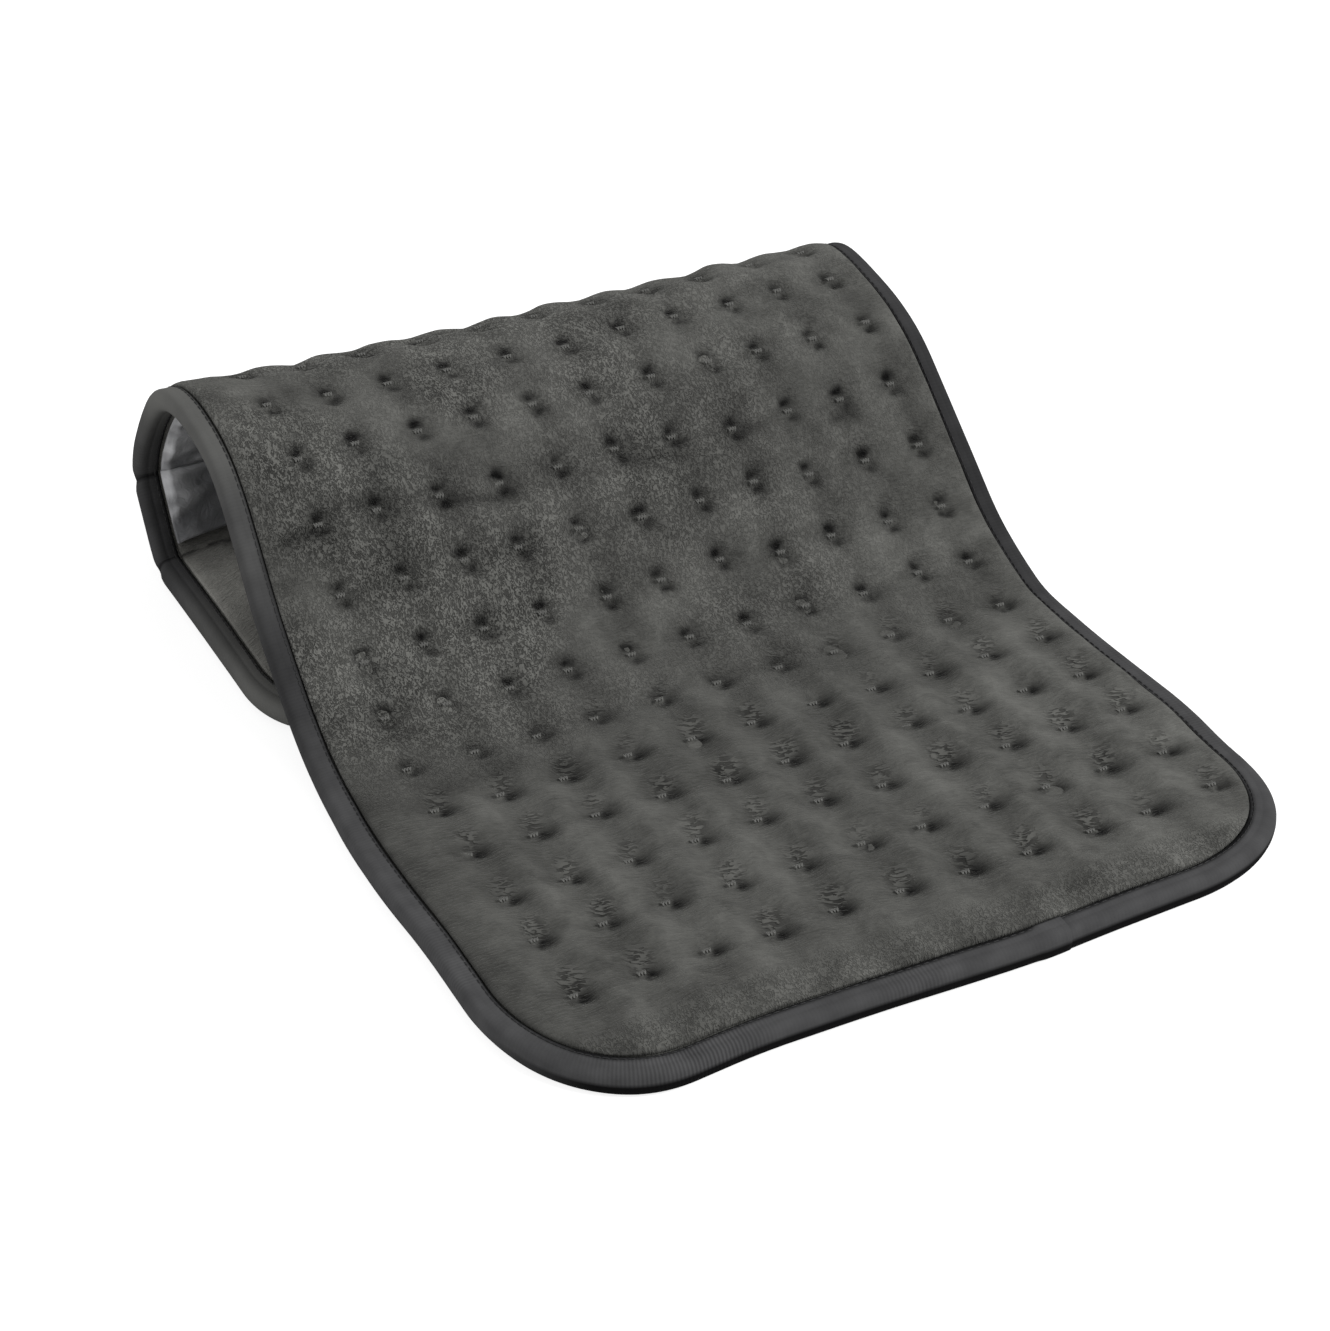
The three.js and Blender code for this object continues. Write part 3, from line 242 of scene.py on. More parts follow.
tuft_spin = chance.uniform(0, 2 * math.pi, tuft_row.shape)


def from_tuft(x, s):
    """The row and column of the tack nearest each place, and the way across and along from it."""
    row = np.clip(np.rint((s - NEAR_MARGIN) / row_pitch), 0, TUFT_ROWS - 1).astype(int)
    column = np.clip(np.rint((x - first_column) / column_pitch), 0, TUFT_COLUMNS - 1).astype(int)
    return row, column, x - tuft_x[row, column], s - tuft_s[row, column]


def outline(spacing):
    """Round the pad's edge: the centre that each place is struck from, and its way out."""
    across = PAD_WIDTH / 2 - CORNER_RADIUS
    centres = [(across, CORNER_RADIUS), (across, PAD_LENGTH - CORNER_RADIUS)]
    centres += [(-across, PAD_LENGTH - CORNER_RADIUS), (-across, CORNER_RADIUS)]
    arc_steps = round(CORNER_RADIUS * math.pi / 2 / spacing)
    rows = []
    for corner, (x, s) in enumerate(centres):
        start = (corner - 1) * math.pi / 2
        for step in range(arc_steps):
            angle = start + step * math.pi / 2 / arc_steps
            rows.append((x, s, math.cos(angle), math.sin(angle)))
        angle = start + math.pi / 2
        next_x, next_s = centres[(corner + 1) % 4]
        straight_steps = round(math.hypot(next_x - x, next_s - s) / spacing)
        for step in range(straight_steps):
            share = step / straight_steps
            at_x, at_s = x + share * (next_x - x), s + share * (next_s - s)
            rows.append((at_x, at_s, math.cos(angle), math.sin(angle)))
    return np.array(rows)


def ring(places, inset):
    """The outline's places, drawn in from the edge."""
    return places[:, :2] + places[:, 2:] * (CORNER_RADIUS - inset)


TINY = 1e-9


def edge_distance(x, s):
    """How far inside the pad's edge each place is, and its way out."""
    away_x = x - np.clip(x, CORNER_RADIUS - PAD_WIDTH / 2, PAD_WIDTH / 2 - CORNER_RADIUS)
    away_s = s - np.clip(s, CORNER_RADIUS, PAD_LENGTH - CORNER_RADIUS)
    from_side, from_end = PAD_WIDTH / 2 - np.abs(x), np.minimum(s, PAD_LENGTH - s)
    reach = np.maximum(np.hypot(away_x, away_s), TINY)
    at_corner = (away_x != 0) & (away_s != 0)
    distance = np.where(at_corner, CORNER_RADIUS - reach, np.minimum(from_side, from_end))
    at_side = from_side < from_end
    straight_x = np.where(at_side, np.sign(x), 0)
    straight_s = np.where(at_side, 0, np.sign(s - PAD_LENGTH / 2))
    out_x = np.where(at_corner, away_x / reach, straight_x)
    out_s = np.where(at_corner, away_s / reach, straight_s)
    return distance, out_x, out_s


RIPPLE_GRID = (97, 89)
RIPPLE_START = 400
RIPPLE_COS, RIPPLE_SIN = 0.8, 0.6


def ripple(x, s, size, seed):
    """Smooth seeded waves of about the given size, from -1 to 1, on a grid that lies aslant."""
    grid = np.random.default_rng(seed).uniform(-1, 1, RIPPLE_GRID)
    u = (RIPPLE_COS * x - RIPPLE_SIN * s) / size + RIPPLE_START
    v = (RIPPLE_SIN * x + RIPPLE_COS * s) / size + RIPPLE_START
    i, j = np.floor(u).astype(int), np.floor(v).astype(int)
    a, b = u - i, v - j
    a, b = a * a * (3 - 2 * a), b * b * (3 - 2 * b)
    rows, columns = grid.shape
    corner = [[grid[(i + m) % rows, (j + n) % columns] for n in (0, 1)] for m in (0, 1)]
    low = corner[0][0] * (1 - a) + corner[1][0] * a
    high = corner[0][1] * (1 - a) + corner[1][1] * a
    return low * (1 - b) + high * b


def bell(distance, half):
    """1 at no distance, fading out on both sides over about the given half width."""
    return np.exp(-((distance / half) ** 2))


# Each tack draws the cover into a pinch with puckers round it, and holds up a small nub of pile
PINCH_DEPTH = 3.0
PINCH_WIDTH = 4.4
PINCH_POWER = 1.35
PUCKER_HEIGHT = 0.3
PUCKER_REACH = 3.2
PUCKER_HALF = 2.4
PUCKER_WAVES = (5, 8)
FINER_PUCKER_SHARE = 0.6
NUB_HEIGHT = 2.4
NUB_HALF = (2.0, 1.4)

# On the slope a ragged pocket lies above each tack and one below it, by their middles from the tack
UPPER_POCKET = (0.1, 3.5)
LOWER_POCKET = (1.8, -3.3)
SLOPE_POCKET_HALF = (2.9, 2.2)
POCKET_RAG = (1.0, 0.9)
RAG_SIZE = 2.4

# On the flat part one pocket lies right of each tack, aslant, and reaches further on its right side
FLAT_POCKET = (3.1, -1.5)
FLAT_POCKET_WAY = (0.9, -0.44)
FLAT_POCKET_LEFT_HALF, FLAT_POCKET_RIGHT_HALF, FLAT_POCKET_HALF = 2.0, 4.6, 2.8

# The wadding swells the cover between the tacks, more in lanes on the flat part, and creases link the tacks
SWELL = 1.4
LANE_SWELL = 0.8
PAST_GRID_SHARE = 0.6
POCKET_DEPTH = 2.0
LINK_DEPTH = 1.1
LINK_WIDTH = 2.2
LINK_MIDDLE_SHARE = 0.35
COLUMN_LINK_SHARE = 0.5
DEEPEST = 3.7
DEEPEST_BLEND = 0.5
RISE_FROM, RISE_TO = 150, 200

# How dark the pile is in the pockets, the pinch, the links along a row and the creases: partly its crush,
# partly painted shade
UPPER_CRUSH_SHADE, LOWER_CRUSH_SHADE, PINCH_CRUSH_SHADE, ROW_CRUSH_SHADE, CREASE_CRUSH_SHADE = 1.0, 0.75, 0.22, 0.35, 0.55

# Creases across the front of the crest, by their two ends and how deep they are
CREASES = [
    ((-136, 277), (-117, 282), 1.0), ((-74, 279), (-34, 275), 1.0), ((0, 280), (32, 275), 0.9),
    ((53, 280), (72, 276), 0.7), ((93, 274), (110, 274), 0.9),
]
CREASE_DEPTH = 1.5
CREASE_HALF = 2.6
CREASE_WANDER = 1.6
CREASE_WAVE = 8
CREASE_END_SHARE = 0.25


def nub(x, s):
    """The small nub of pile that each tack holds up, 1 at the tack."""
    _, _, dx, ds = from_tuft(x, s)
    return bell(dx, NUB_HALF[0]) * bell(ds, NUB_HALF[1])


def link(strength, at, before, count, off):
    """A crease from tack to tack, shallower halfway, by its place along the tacks and beside them."""
    middle = LINK_MIDDLE_SHARE + (1 - LINK_MIDDLE_SHARE) * np.abs(2 * (at - before) - 1)
    return strength * bell(off, LINK_WIDTH) * middle * (at > 0) * (at < count - 1)


def crease(x, s):
    """The creases on the front of the crest, 1 along each and fading out beside it and at its ends."""
    most = 0 * x
    for (from_x, from_s), (to_x, to_s), depth in CREASES:
        share = (x - from_x) / (to_x - from_x)
        line = from_s + share * (to_s - from_s) + CREASE_WANDER * ripple(x, 0 * x, CREASE_WAVE, seed=54)
        fade = ramp(np.minimum(share, 1 - share), 0, CREASE_END_SHARE)
        most = np.maximum(most, depth * fade * bell(s - line, CREASE_HALF))
    return most


def tufting(x, s):
    """How far the tacks draw the cover down at each place, and how dark its pile is there, crushed and with
    painted shade.
    """
    row, column, dx, ds = from_tuft(x, s)
    pull, spin = tuft_pull[row, column], tuft_spin[row, column]
    reach = np.hypot(dx, ds)
    angle = np.arctan2(ds, dx)
    pinch = np.exp(-((reach / PINCH_WIDTH) ** PINCH_POWER)) * pull
    raised = nub(x, s)
    waves, finer_waves = PUCKER_WAVES
    pucker = np.sin(waves * angle + spin) + FINER_PUCKER_SHARE * np.sin(finer_waves * angle - spin)
    pucker *= bell(reach - PUCKER_REACH, PUCKER_HALF)
    u = (x - first_column) / column_pitch
    v = (s - NEAR_MARGIN) / row_pitch
    inside_u = np.clip(np.minimum(u, TUFT_COLUMNS - 1 - u) + PAST_GRID_SHARE, 0, 1)
    inside_v = np.clip(np.minimum(v, TUFT_ROWS - 1 - v) + PAST_GRID_SHARE, 0, 1)
    valley = (1 - (np.sin(np.pi * u) * np.sin(np.pi * v)) ** 2) * inside_u * inside_v
    left = np.clip(np.floor(u), 0, TUFT_COLUMNS - 2).astype(int)
    below = np.clip(np.floor(v), 0, TUFT_ROWS - 2).astype(int)
    row_crease = link(row_link[row, left], u, left, TUFT_COLUMNS, ds)
    column_crease = link(column_link[below, column], v, below, TUFT_ROWS, dx)
    risen = ramp(s, RISE_FROM, RISE_TO)
    ragged_x = dx + POCKET_RAG[0] * ripple(x, s, RAG_SIZE, seed=57)
    ragged_s = ds + POCKET_RAG[1] * ripple(x, s, RAG_SIZE, seed=58)
    over, under = (
        bell(ragged_x - at_x, SLOPE_POCKET_HALF[0]) * bell(ragged_s - at_s, SLOPE_POCKET_HALF[1])
        for at_x, at_s in (UPPER_POCKET, LOWER_POCKET)
    )
    px, ps = dx - FLAT_POCKET[0], ds - FLAT_POCKET[1]
    along = FLAT_POCKET_WAY[0] * px + FLAT_POCKET_WAY[1] * ps
    across = FLAT_POCKET_WAY[0] * ps - FLAT_POCKET_WAY[1] * px
    along_half = np.where(along < 0, FLAT_POCKET_LEFT_HALF, FLAT_POCKET_RIGHT_HALF)
    single = bell(along, along_half) * bell(across, FLAT_POCKET_HALF)
    pocket = risen * (over + under) + (1 - risen) * single
    fold = crease(x, s)
    drop = PINCH_DEPTH * pinch + POCKET_DEPTH * pocket - NUB_HEIGHT * raised + PUCKER_HEIGHT * pucker
    drop += SWELL * valley + LANE_SWELL * (1 - risen) * np.cos(2 * np.pi * u) * inside_u
    drop += LINK_DEPTH * np.maximum(row_crease, COLUMN_LINK_SHARE * column_crease) + CREASE_DEPTH * fold
    drop = -DEEPEST_BLEND * np.log(np.exp(-drop / DEEPEST_BLEND) + math.exp(-DEEPEST / DEEPEST_BLEND))
    # The darkness: crushed pile, and painted shade in the pockets, the pinch and the creases
    pair = pull * UPPER_CRUSH_SHADE * over + (2 - pull) * LOWER_CRUSH_SHADE * under
    dark = risen * pair + (1 - risen) * single + PINCH_CRUSH_SHADE * pinch
    crushed = dark * (1 - raised) + ROW_CRUSH_SHADE * row_crease + CREASE_CRUSH_SHADE * fold
    return drop, np.clip(crushed, 0, 1)


SCATTER_SHARE = 1 / 9


def scattered(spacing, inset, away_from_tufts):
    """Points over the pad, in staggered rows that a little chance has moved."""
    rows = []
    for k, s in enumerate(np.arange(inset, PAD_LENGTH - inset, spacing * math.sqrt(3) / 2)):
        x = np.arange(-PAD_WIDTH / 2 + inset, PAD_WIDTH / 2 - inset, spacing) + (k % 2) * spacing / 2
        rows.append(np.stack([x, np.full_like(x, s)], axis=-1))
    points = np.concatenate(rows)
    points += np.random.default_rng(5).normal(0, spacing * SCATTER_SHARE, points.shape)
    _, _, dx, ds = from_tuft(points[:, 0], points[:, 1])
    keep = (edge_distance(points[:, 0], points[:, 1])[0] > inset) & (np.hypot(dx, ds) > away_from_tufts)
    return points[keep]


def round_tufts(circles, inset):
    """Closer points in circles round each tack, given by radius and count."""
    centres = np.stack([tuft_x.ravel(), tuft_s.ravel()], axis=-1)
    rows = [centres]
    for radius, count in circles:
        angle = 2 * np.pi * (np.arange(count) + 0.5 * (count % 4)) / count
        rows += [centres + radius * np.array([np.cos(a), np.sin(a)]) for a in angle]
    points = np.concatenate(rows)
    return points[edge_distance(points[:, 0], points[:, 1])[0] > inset]


SAME_PLACE = 1e-7


def triangulated(points):
    """Triangles over a flat cloud of points, by their numbers."""
    made = geometry.delaunay_2d_cdt([Vector(p) for p in points], [], [], 0, SAME_PLACE, True)
    faces, origin = made[2], made[3]
    return [[origin[i][0] for i in face] for face in faces]


def two_faced(edge, upper, lower):
    """A closed layer: points over its upper and lower face that share one ring, and its triangles."""
    count = len(edge)
    top = triangulated(np.concatenate([edge, upper]))
    bottom = triangulated(np.concatenate([edge, lower]))
    bottom = [[i if i < count else i + len(upper) for i in reversed(face)] for face in bottom]
    return np.concatenate([edge, upper, lower]), top + bottom


def mesh_piece(name, places, faces, **values):
    """A smooth-shaded object, with a value or a vector for each of its points where one is given."""
    mesh = bpy.data.meshes.new(name)
    mesh.from_pydata([tuple(p) for p in places], [], faces)
    for label, value in values.items():
        value = np.asarray(value, dtype=np.float32)
        kind, field = ("FLOAT", "value") if value.ndim == 1 else ("FLOAT_VECTOR", "vector")
        mesh.attributes.new(label, kind, "POINT").data.foreach_set(field, value.ravel())
    mesh.shade_smooth()
    piece = bpy.data.objects.new(name, mesh)
    bpy.context.collection.objects.link(piece)
    return piece


# The roll of the cover's edge: places on the cut sheet by how far in they lie, how far in from the pad's
# edge each of them comes, and its height
ROLL_CUT = [2.7, 3.6, 7.0, 9.2, 9.9, 10.6, 11.3, 12.2, 13.4, 15.0, 17.0]
ROLL_INSET = [2.7, 3.6, 7.0, 9.5, 9.2, 8.9, 9.0, 9.7, 11.2, 13.5, 17.0]
ROLL_HEIGHT = [3.0, 3.4, 3.4, 3.45, 4.0, 4.75, 5.35, 5.85, 6.2, 6.4, 6.4]
# How far the pile hangs out over the tape on the right, along that side and by its height
RIGHT_OVERHANG = ([40, 75, 180, 230], [0, 1.7, 1.7, 0])
OVERHANG_SHARE = ([4.3, 4.75, 5.85, 6.35], [0, 1, 1, 0])
COVER_SPACING = 2.2
COVER_UNDERSIDE = 2.3
UNDERSIDE_SPACING = 14
TUFT_CIRCLES = [(0.5, 8), (1.0, 12), (1.6, 16), (2.3, 20), (3.2, 24), (4.3, 26), (5.6, 26), (7.0, 26)]
TUFT_CLEAR = 8.0
# How far inside the roll the scattered points begin, and those in circles round the tacks
COVER_CLEAR, COVER_CIRCLES_CLEAR = 1, 0.6
# The unevenness of the wadding under the cover, in waves by their size and how high they are
COVER_WAVES = [(34, 0.7), (13, 0.5), (5.5, 0.22)]


def rolled(points, cut, inset, height):
    """Points of the margin moved to their place on the roll, and their height there."""
    distance, out_x, out_s = edge_distance(points[:, 0], points[:, 1])
    move = distance - np.interp(distance, cut, inset)
    move[distance > cut[-1]] = 0
    moved = points + np.stack([out_x, out_s], axis=-1) * move[:, None]
    return moved, np.interp(distance, cut, height)


# The pile stands up, curled, on the left of the slope and of the crest and along the near edge, and lies
# combed elsewhere, but in a spot behind each tack of the flat part it is crinkled
CURLED_FROM = -40
LEAST_CURLED, CURLED_ANYWHERE, NEAR_CURLED = 0.2, 0.05, 0.45
NEAR_CURLED_FROM, NEAR_CURLED_TO = 18, 26
CURL_PATCH = 26
CURL_PATCH_SHARE, LEAST_IN_PATCH, MOST_IN_PATCH = 0.9, 0.1, 1.2
CRINKLE_PLACE = (2.4, 6.2)
CRINKLE_HALF = (3.4, 4.4)
CRINKLE_STRENGTH = 1.28
CRINKLE_PATCH = 24
CRINKLE_LEFT_ON_SLOPE = 0.2


def raised_pile(x, s):
    """How far the pile stands up in curls at each place, and how far it is crinkled beside a tack."""
    _, _, dx, ds = from_tuft(x, s)
    crinkled = bell(dx - CRINKLE_PLACE[0], CRINKLE_HALF[0]) * bell(ds - CRINKLE_PLACE[1], CRINKLE_HALF[1])
    crinkled *= CRINKLE_STRENGTH * (1 + ripple(x, s, CRINKLE_PATCH, seed=53))
    risen = ramp(s, RISE_FROM, RISE_TO)
    left = np.maximum(ramp(x, PAD_WIDTH / 2, CURLED_FROM), LEAST_CURLED)
    patch = CURL_PATCH_SHARE * (1 + ripple(x, s, CURL_PATCH, seed=51))
    patch = np.clip(patch, LEAST_IN_PATCH, MOST_IN_PATCH)
    near = NEAR_CURLED * ramp(s, NEAR_CURLED_TO, NEAR_CURLED_FROM)
    raised = np.clip(CURLED_ANYWHERE + near + risen * left * patch, 0, 1)
    return raised, np.clip(crinkled, 0, 1) * (1 - (1 - CRINKLE_LEFT_ON_SLOPE) * risen)


# Painted shade on the pile, heavier and lighter along the pad, on the flat part across it, in lanes just
# right of each column of tacks, and in one dark band in the hollow where the pad begins to rise
PILE_SHADE_ANYWHERE = 0.06
PILE_SHADE_ALONG = (
    [0, 40, 75, 110, 130, 147, 169, 191, 213, 240, 268, 290, 305, 345, 400],
    [0.07, 0.15, 0.08, 0.13, 0.11, 0.12, 0.28, 0.22, 0.05, 0.07, 0.16, 0.18, 0, 0.02, 0.02],
)
PILE_SHADE_ACROSS = (
    [-150, -130, -105, -60, 15, 45, 75, 105, 150],
    [0.3, 0.24, 0.08, 0.07, 0.12, 0.07, -0.03, -0.06, -0.2],
)
PILE_SHADE_FLAT, PILE_SHADE_RISEN = 130, 190
LANE_SHADE = 0.07
LANE_START_SHARE = 0.14
HOLLOW_SHADE_BAND = ([-127, -95, -55, -5, 61, 110], [159, 163, 150, 139, 141, 146])
BAND_HALF = 7
BAND_DARK = 0.24
BAND_PATCH = 18
BAND_PATCH_SHARE = 0.6

# Patches with more painted shade, and some with less, by their middle, their half sizes and how dark they are
SHADE_PATCHES = [
    (-106, 338, 16, 18, 0.25), (-98, 285, 24, 6, 0.22), (-35, 279, 26, 7, 0.12), (108, 300, 32, 12, 0.14),
    (138, 345, 14, 14, -0.2), (-75, 235, 12, 9, -0.1), (45, 213, 10, 8, -0.1), (-118, 110, 16, 24, 0.16),
    (-88, 62, 13, 9, 0.12), (20, 40, 16, 9, 0.08), (-40, 172, 18, 8, 0.1),
]
SHADE_PATCH_SIZE = 9
SHADE_PATCH_UNEVEN = 0.7


def painted_pile_shade(x, s):
    """How much painted shade lies on the pile at each place, from 0 to 1, and none on the tacks' nubs."""
    flat = ramp(s, PILE_SHADE_RISEN, PILE_SHADE_FLAT)
    broken = np.clip(BAND_PATCH_SHARE * (1 + ripple(x, s, BAND_PATCH, seed=52)), 0, 1)
    band = BAND_DARK * bell(s - np.interp(x, *HOLLOW_SHADE_BAND), BAND_HALF) * broken
    # Painted shade in lanes just right of each column of tacks
    lanes = LANE_SHADE * np.cos(2 * np.pi * ((x - first_column) / column_pitch - LANE_START_SHARE))
    dark = PILE_SHADE_ANYWHERE + eased(s, PILE_SHADE_ALONG) + flat * eased(x, PILE_SHADE_ACROSS) + band + lanes
    uneven = 1 + SHADE_PATCH_UNEVEN * ripple(x, s, SHADE_PATCH_SIZE, seed=56)
    for at_x, at_s, half_x, half_s, depth in SHADE_PATCHES:
        dark += depth * uneven * bell(x - at_x, half_x) * bell(s - at_s, half_s)
    return np.clip(dark, 0, 1) * (1 - nub(x, s))


places = outline(COVER_SPACING)
margin = [ring(places, cut) for cut in ROLL_CUT]
upper = np.concatenate([
    *margin[1:],
    scattered(COVER_SPACING, ROLL_CUT[-1] + COVER_CLEAR, TUFT_CLEAR),
    round_tufts(TUFT_CIRCLES, ROLL_CUT[-1] + COVER_CIRCLES_CLEAR),
])
underside_clear = UNDERSIDE_SPACING / 3
underside = scattered(UNDERSIDE_SPACING, ROLL_CUT[0] + underside_clear, 0)
flat, faces = two_faced(margin[0], upper, underside)
is_upper = np.arange(len(flat)) < len(margin[0]) + len(upper)
moved, height = rolled(flat, ROLL_CUT, ROLL_INSET, ROLL_HEIGHT)
x, s = moved[:, 0], moved[:, 1]
x = x + eased(s, RIGHT_OVERHANG) * eased(height, OVERHANG_SHARE) * (x > PAD_WIDTH / 2 - ROLL_CUT[-1])
drop, crushed = tufting(x, s)
on_crown = ramp(height, TAPE_FACE, CROWN)
height = height - on_crown * drop
for seed, (size, rise) in enumerate(COVER_WAVES, 1):
    height += on_crown * rise * ripple(x, s, size, seed)
height = np.where(is_upper, height, COVER_UNDERSIDE)
height[: len(margin[0])] = ROLL_HEIGHT[0]
raised, crinkled = raised_pile(x, s)
cover = mesh_piece(
    "plush_cover", bend(x, s, height), faces,
    flat=np.stack([x, s, height], axis=-1), crushed=crushed * is_upper * on_crown, raised=raised,
    crinkled=crinkled, shade=painted_pile_shade(x, s),
)


def linear(code):
    """An sRGB hex colour as the linear values that a shader takes."""
    parts = [int(code[i:i + 2], 16) / 255 for i in (1, 3, 5)]
    return (*[p / 12.92 if p <= 0.04045 else ((p + 0.055) / 1.055) ** 2.4 for p in parts], 1)


def add_node(tree, kind, sockets=None, **settings):
    """Adds a node with its settings, and sets each socket to a value or links it to another node's output."""
    node = tree.nodes.new(kind)
    for name, value in settings.items():
        setattr(node, name, value)
    for name, value in (sockets or {}).items():
        if isinstance(value, bpy.types.NodeSocket):
            tree.links.new(value, node.inputs[name])
        else:
            node.inputs[name].default_value = value
    return node


def new_material(name, **sockets):
    """A material with its Principled shader, whose constant sockets are set by name."""
    material = bpy.data.materials.new(name)
    material.use_nodes = True
    shader = material.node_tree.nodes["Principled BSDF"]
    for label, value in sockets.items():
        shader.inputs[label.replace("_", " ")].default_value = value
    return material, material.node_tree, shader


def colour_and_relief(tree, shader, colour, height, strength, depth):
    """Gives a shader its colour, and its relief from a height that is so many millimetres deep, if any."""
    tree.links.new(colour, shader.inputs["Base Color"])
    if depth:
        relief = add_node(tree, "ShaderNodeBump", {
            "Height": height, "Strength": strength, "Distance": depth * MM,
        })
        tree.links.new(relief.outputs[0], shader.inputs["Normal"])


# Crushed polyester plush: a deep pile, dark where it is seen along its hairs and pale where across them.
# Its hairs are too fine to show, so they are drawn as the clumps that they stand in: curls 1 mm wide and
# 1.6 mm long, or combed streaks 3.4 mm long. Patches of a few centimetres are brushed this way and that.
PLUSH_DARK = linear("#191918")
PLUSH_LIGHT = linear("#7c7c78")
PLUSH_CRUSH_AND_SHADE = linear("#090909")
CURL_WIDTH, CURL_LENGTH = 0.95, 1.6
STREAK_WIDTH, STREAK_LENGTH = 0.9, 3.4
CRINKLE_LENGTH, CRINKLE_WIDTH = 3.0, 1.1
CRINKLE_TURN = math.radians(26)
PILE_DEPTH = 5
MOTTLE = 7
PATCH = 28
RELIEF_DEPTH = 1.0


def plush(name, dark, light, crushed):
    """Crushed plush between a dark and a light colour, darker still with painted shade and where its pile is
    crushed.
    """
    material, tree, shader = new_material(
        name, Roughness=0.95, Specular_IOR_Level=0.1,
        Sheen_Weight=0.14, Sheen_Roughness=0.45, Sheen_Tint=linear("#e8e8e2"),
    )
    where = add_node(tree, "ShaderNodeAttribute", attribute_name="flat").outputs["Vector"]
    raised, shade, crush_and_shade_amount, crinkled = (
        add_node(tree, "ShaderNodeAttribute", attribute_name=label).outputs["Fac"]
        for label in ("raised", "shade", "crushed", "crinkled")
    )
    turned = add_node(tree, "ShaderNodeMapping", {"Vector": where, "Rotation": (0, 0, CRINKLE_TURN)})
    along_curls, along_streaks, along_crinkles = (
        add_node(tree, "ShaderNodeMapping", {
            "Vector": vector, "Scale": (1 / across, 1 / along, 1 / PILE_DEPTH),
        }).outputs["Vector"]
        for vector, across, along in (
            (where, CURL_WIDTH, CURL_LENGTH),
            (where, STREAK_LENGTH, STREAK_WIDTH),
            (turned.outputs["Vector"], CRINKLE_LENGTH, CRINKLE_WIDTH),
        )
    )
    curls = add_node(tree, "ShaderNodeTexNoise", {
        "Vector": along_curls, "Scale": 1.0, "Detail": 1.0, "Roughness": 0.5, "Distortion": 1.4,
    })
    curls = add_node(tree, "ShaderNodeMapRange", {
        "Value": curls.outputs[0], "From Min": 0.4, "From Max": 0.54,
    })
    streaks = add_node(tree, "ShaderNodeTexNoise", {
        "Vector": along_streaks, "Scale": 1.0, "Detail": 3.0, "Roughness": 0.65,
    })
    streaks = add_node(tree, "ShaderNodeMapRange", {
        "Value": streaks.outputs[0], "From Min": 0.3, "From Max": 0.7, "To Min": 0.34, "To Max": 0.72,
    })
    crinkles = add_node(tree, "ShaderNodeTexNoise", {
        "Vector": along_crinkles, "Scale": 1.0, "Detail": 0.0, "Distortion": 0.8,
    })
    crinkles = add_node(tree, "ShaderNodeMapRange", {
        "Value": crinkles.outputs[0], "From Min": 0.42, "From Max": 0.56,
    })
    mottle = add_node(tree, "ShaderNodeTexNoise", {
        "Vector": where, "Scale": 1 / MOTTLE, "Detail": 2.0, "Roughness": 0.6, "Distortion": 0.6,
    })
    clumped = add_node(tree, "ShaderNodeMapRange", {
        "Value": mottle.outputs[0], "From Min": 0.34, "From Max": 0.66,
    })
    spread = add_node(tree, "ShaderNodeMapRange", {
        "Value": mottle.outputs[0], "From Min": 0.36, "From Max": 0.52, "To Min": 0.65, "To Max": 1.0,
    })
    patch = add_node(tree, "ShaderNodeTexNoise", {
        "Vector": where, "Scale": 1 / PATCH, "Detail": 3.0, "Roughness": 0.6,
    })
    brushed = add_node(tree, "ShaderNodeMapRange", {
        "Value": patch.outputs[0], "From Min": 0.36, "From Max": 0.64,
    })
    standing = add_node(tree, "ShaderNodeMath", {0: raised, 1: spread.outputs[0]}, operation="MULTIPLY")
    pile = add_node(tree, "ShaderNodeMix", {
        0: standing.outputs[0], 2: streaks.outputs[0], 3: curls.outputs[0],
    })
    pile = add_node(tree, "ShaderNodeMix", {0: crinkled, 2: pile.outputs[0], 3: crinkles.outputs[0]})
    # The pile, the clumps it stands in and the way they are brushed each lighten it by their own share
    share = 0.06
    for layer, strength in ((pile, 0.5), (clumped, 0.1), (brushed, 0.28)):
        share = add_node(tree, "ShaderNodeMath", {
            0: layer.outputs[0], 1: strength, 2: share,
        }, operation="MULTIPLY_ADD").outputs[0]
    colour = add_node(tree, "ShaderNodeMix", {0: share, 6: dark, 7: light}, data_type="RGBA").outputs[2]
    # Painted shade, and the crush of the pile in the tufts, darken it towards the darkest colour
    for darker in (shade, crush_and_shade_amount):
        colour = add_node(tree, "ShaderNodeMix", {
            0: darker, 6: colour, 7: crushed,
        }, data_type="RGBA").outputs[2]
    colour_and_relief(tree, shader, colour, pile.outputs[0], 1.0, RELIEF_DEPTH)
    return material


cover.data.materials.append(plush("crushed_polyester_plush", PLUSH_DARK, PLUSH_LIGHT, PLUSH_CRUSH_AND_SHADE))
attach(cover, "pad")
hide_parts("top_cover")

# Wadding and heater carrier
# Two sheets of needled polyester wadding, and between them the felt sheet that carries the heating wire.
# They are cut a little smaller than the covers and caught in the same tacks.
CORE_INSET = 12
CORE_SPACING = 9
CORE_PINCH_SHARE = 0.25
MOST_PINCHED_SHARE = 0.3
CORE_TUFT_CLEAR = 4
CORE_CIRCLES = [(1.6, 6)]
# Each sheet by its underside, its top and what it is made of
SHEETS = {
    "upper_wadding": (1.3, 2.0, "wadding"),
    "heater_carrier": (-0.9, -0.5, "felt"),
    "lower_wadding": (-2.4, -1.2, "wadding"),
}


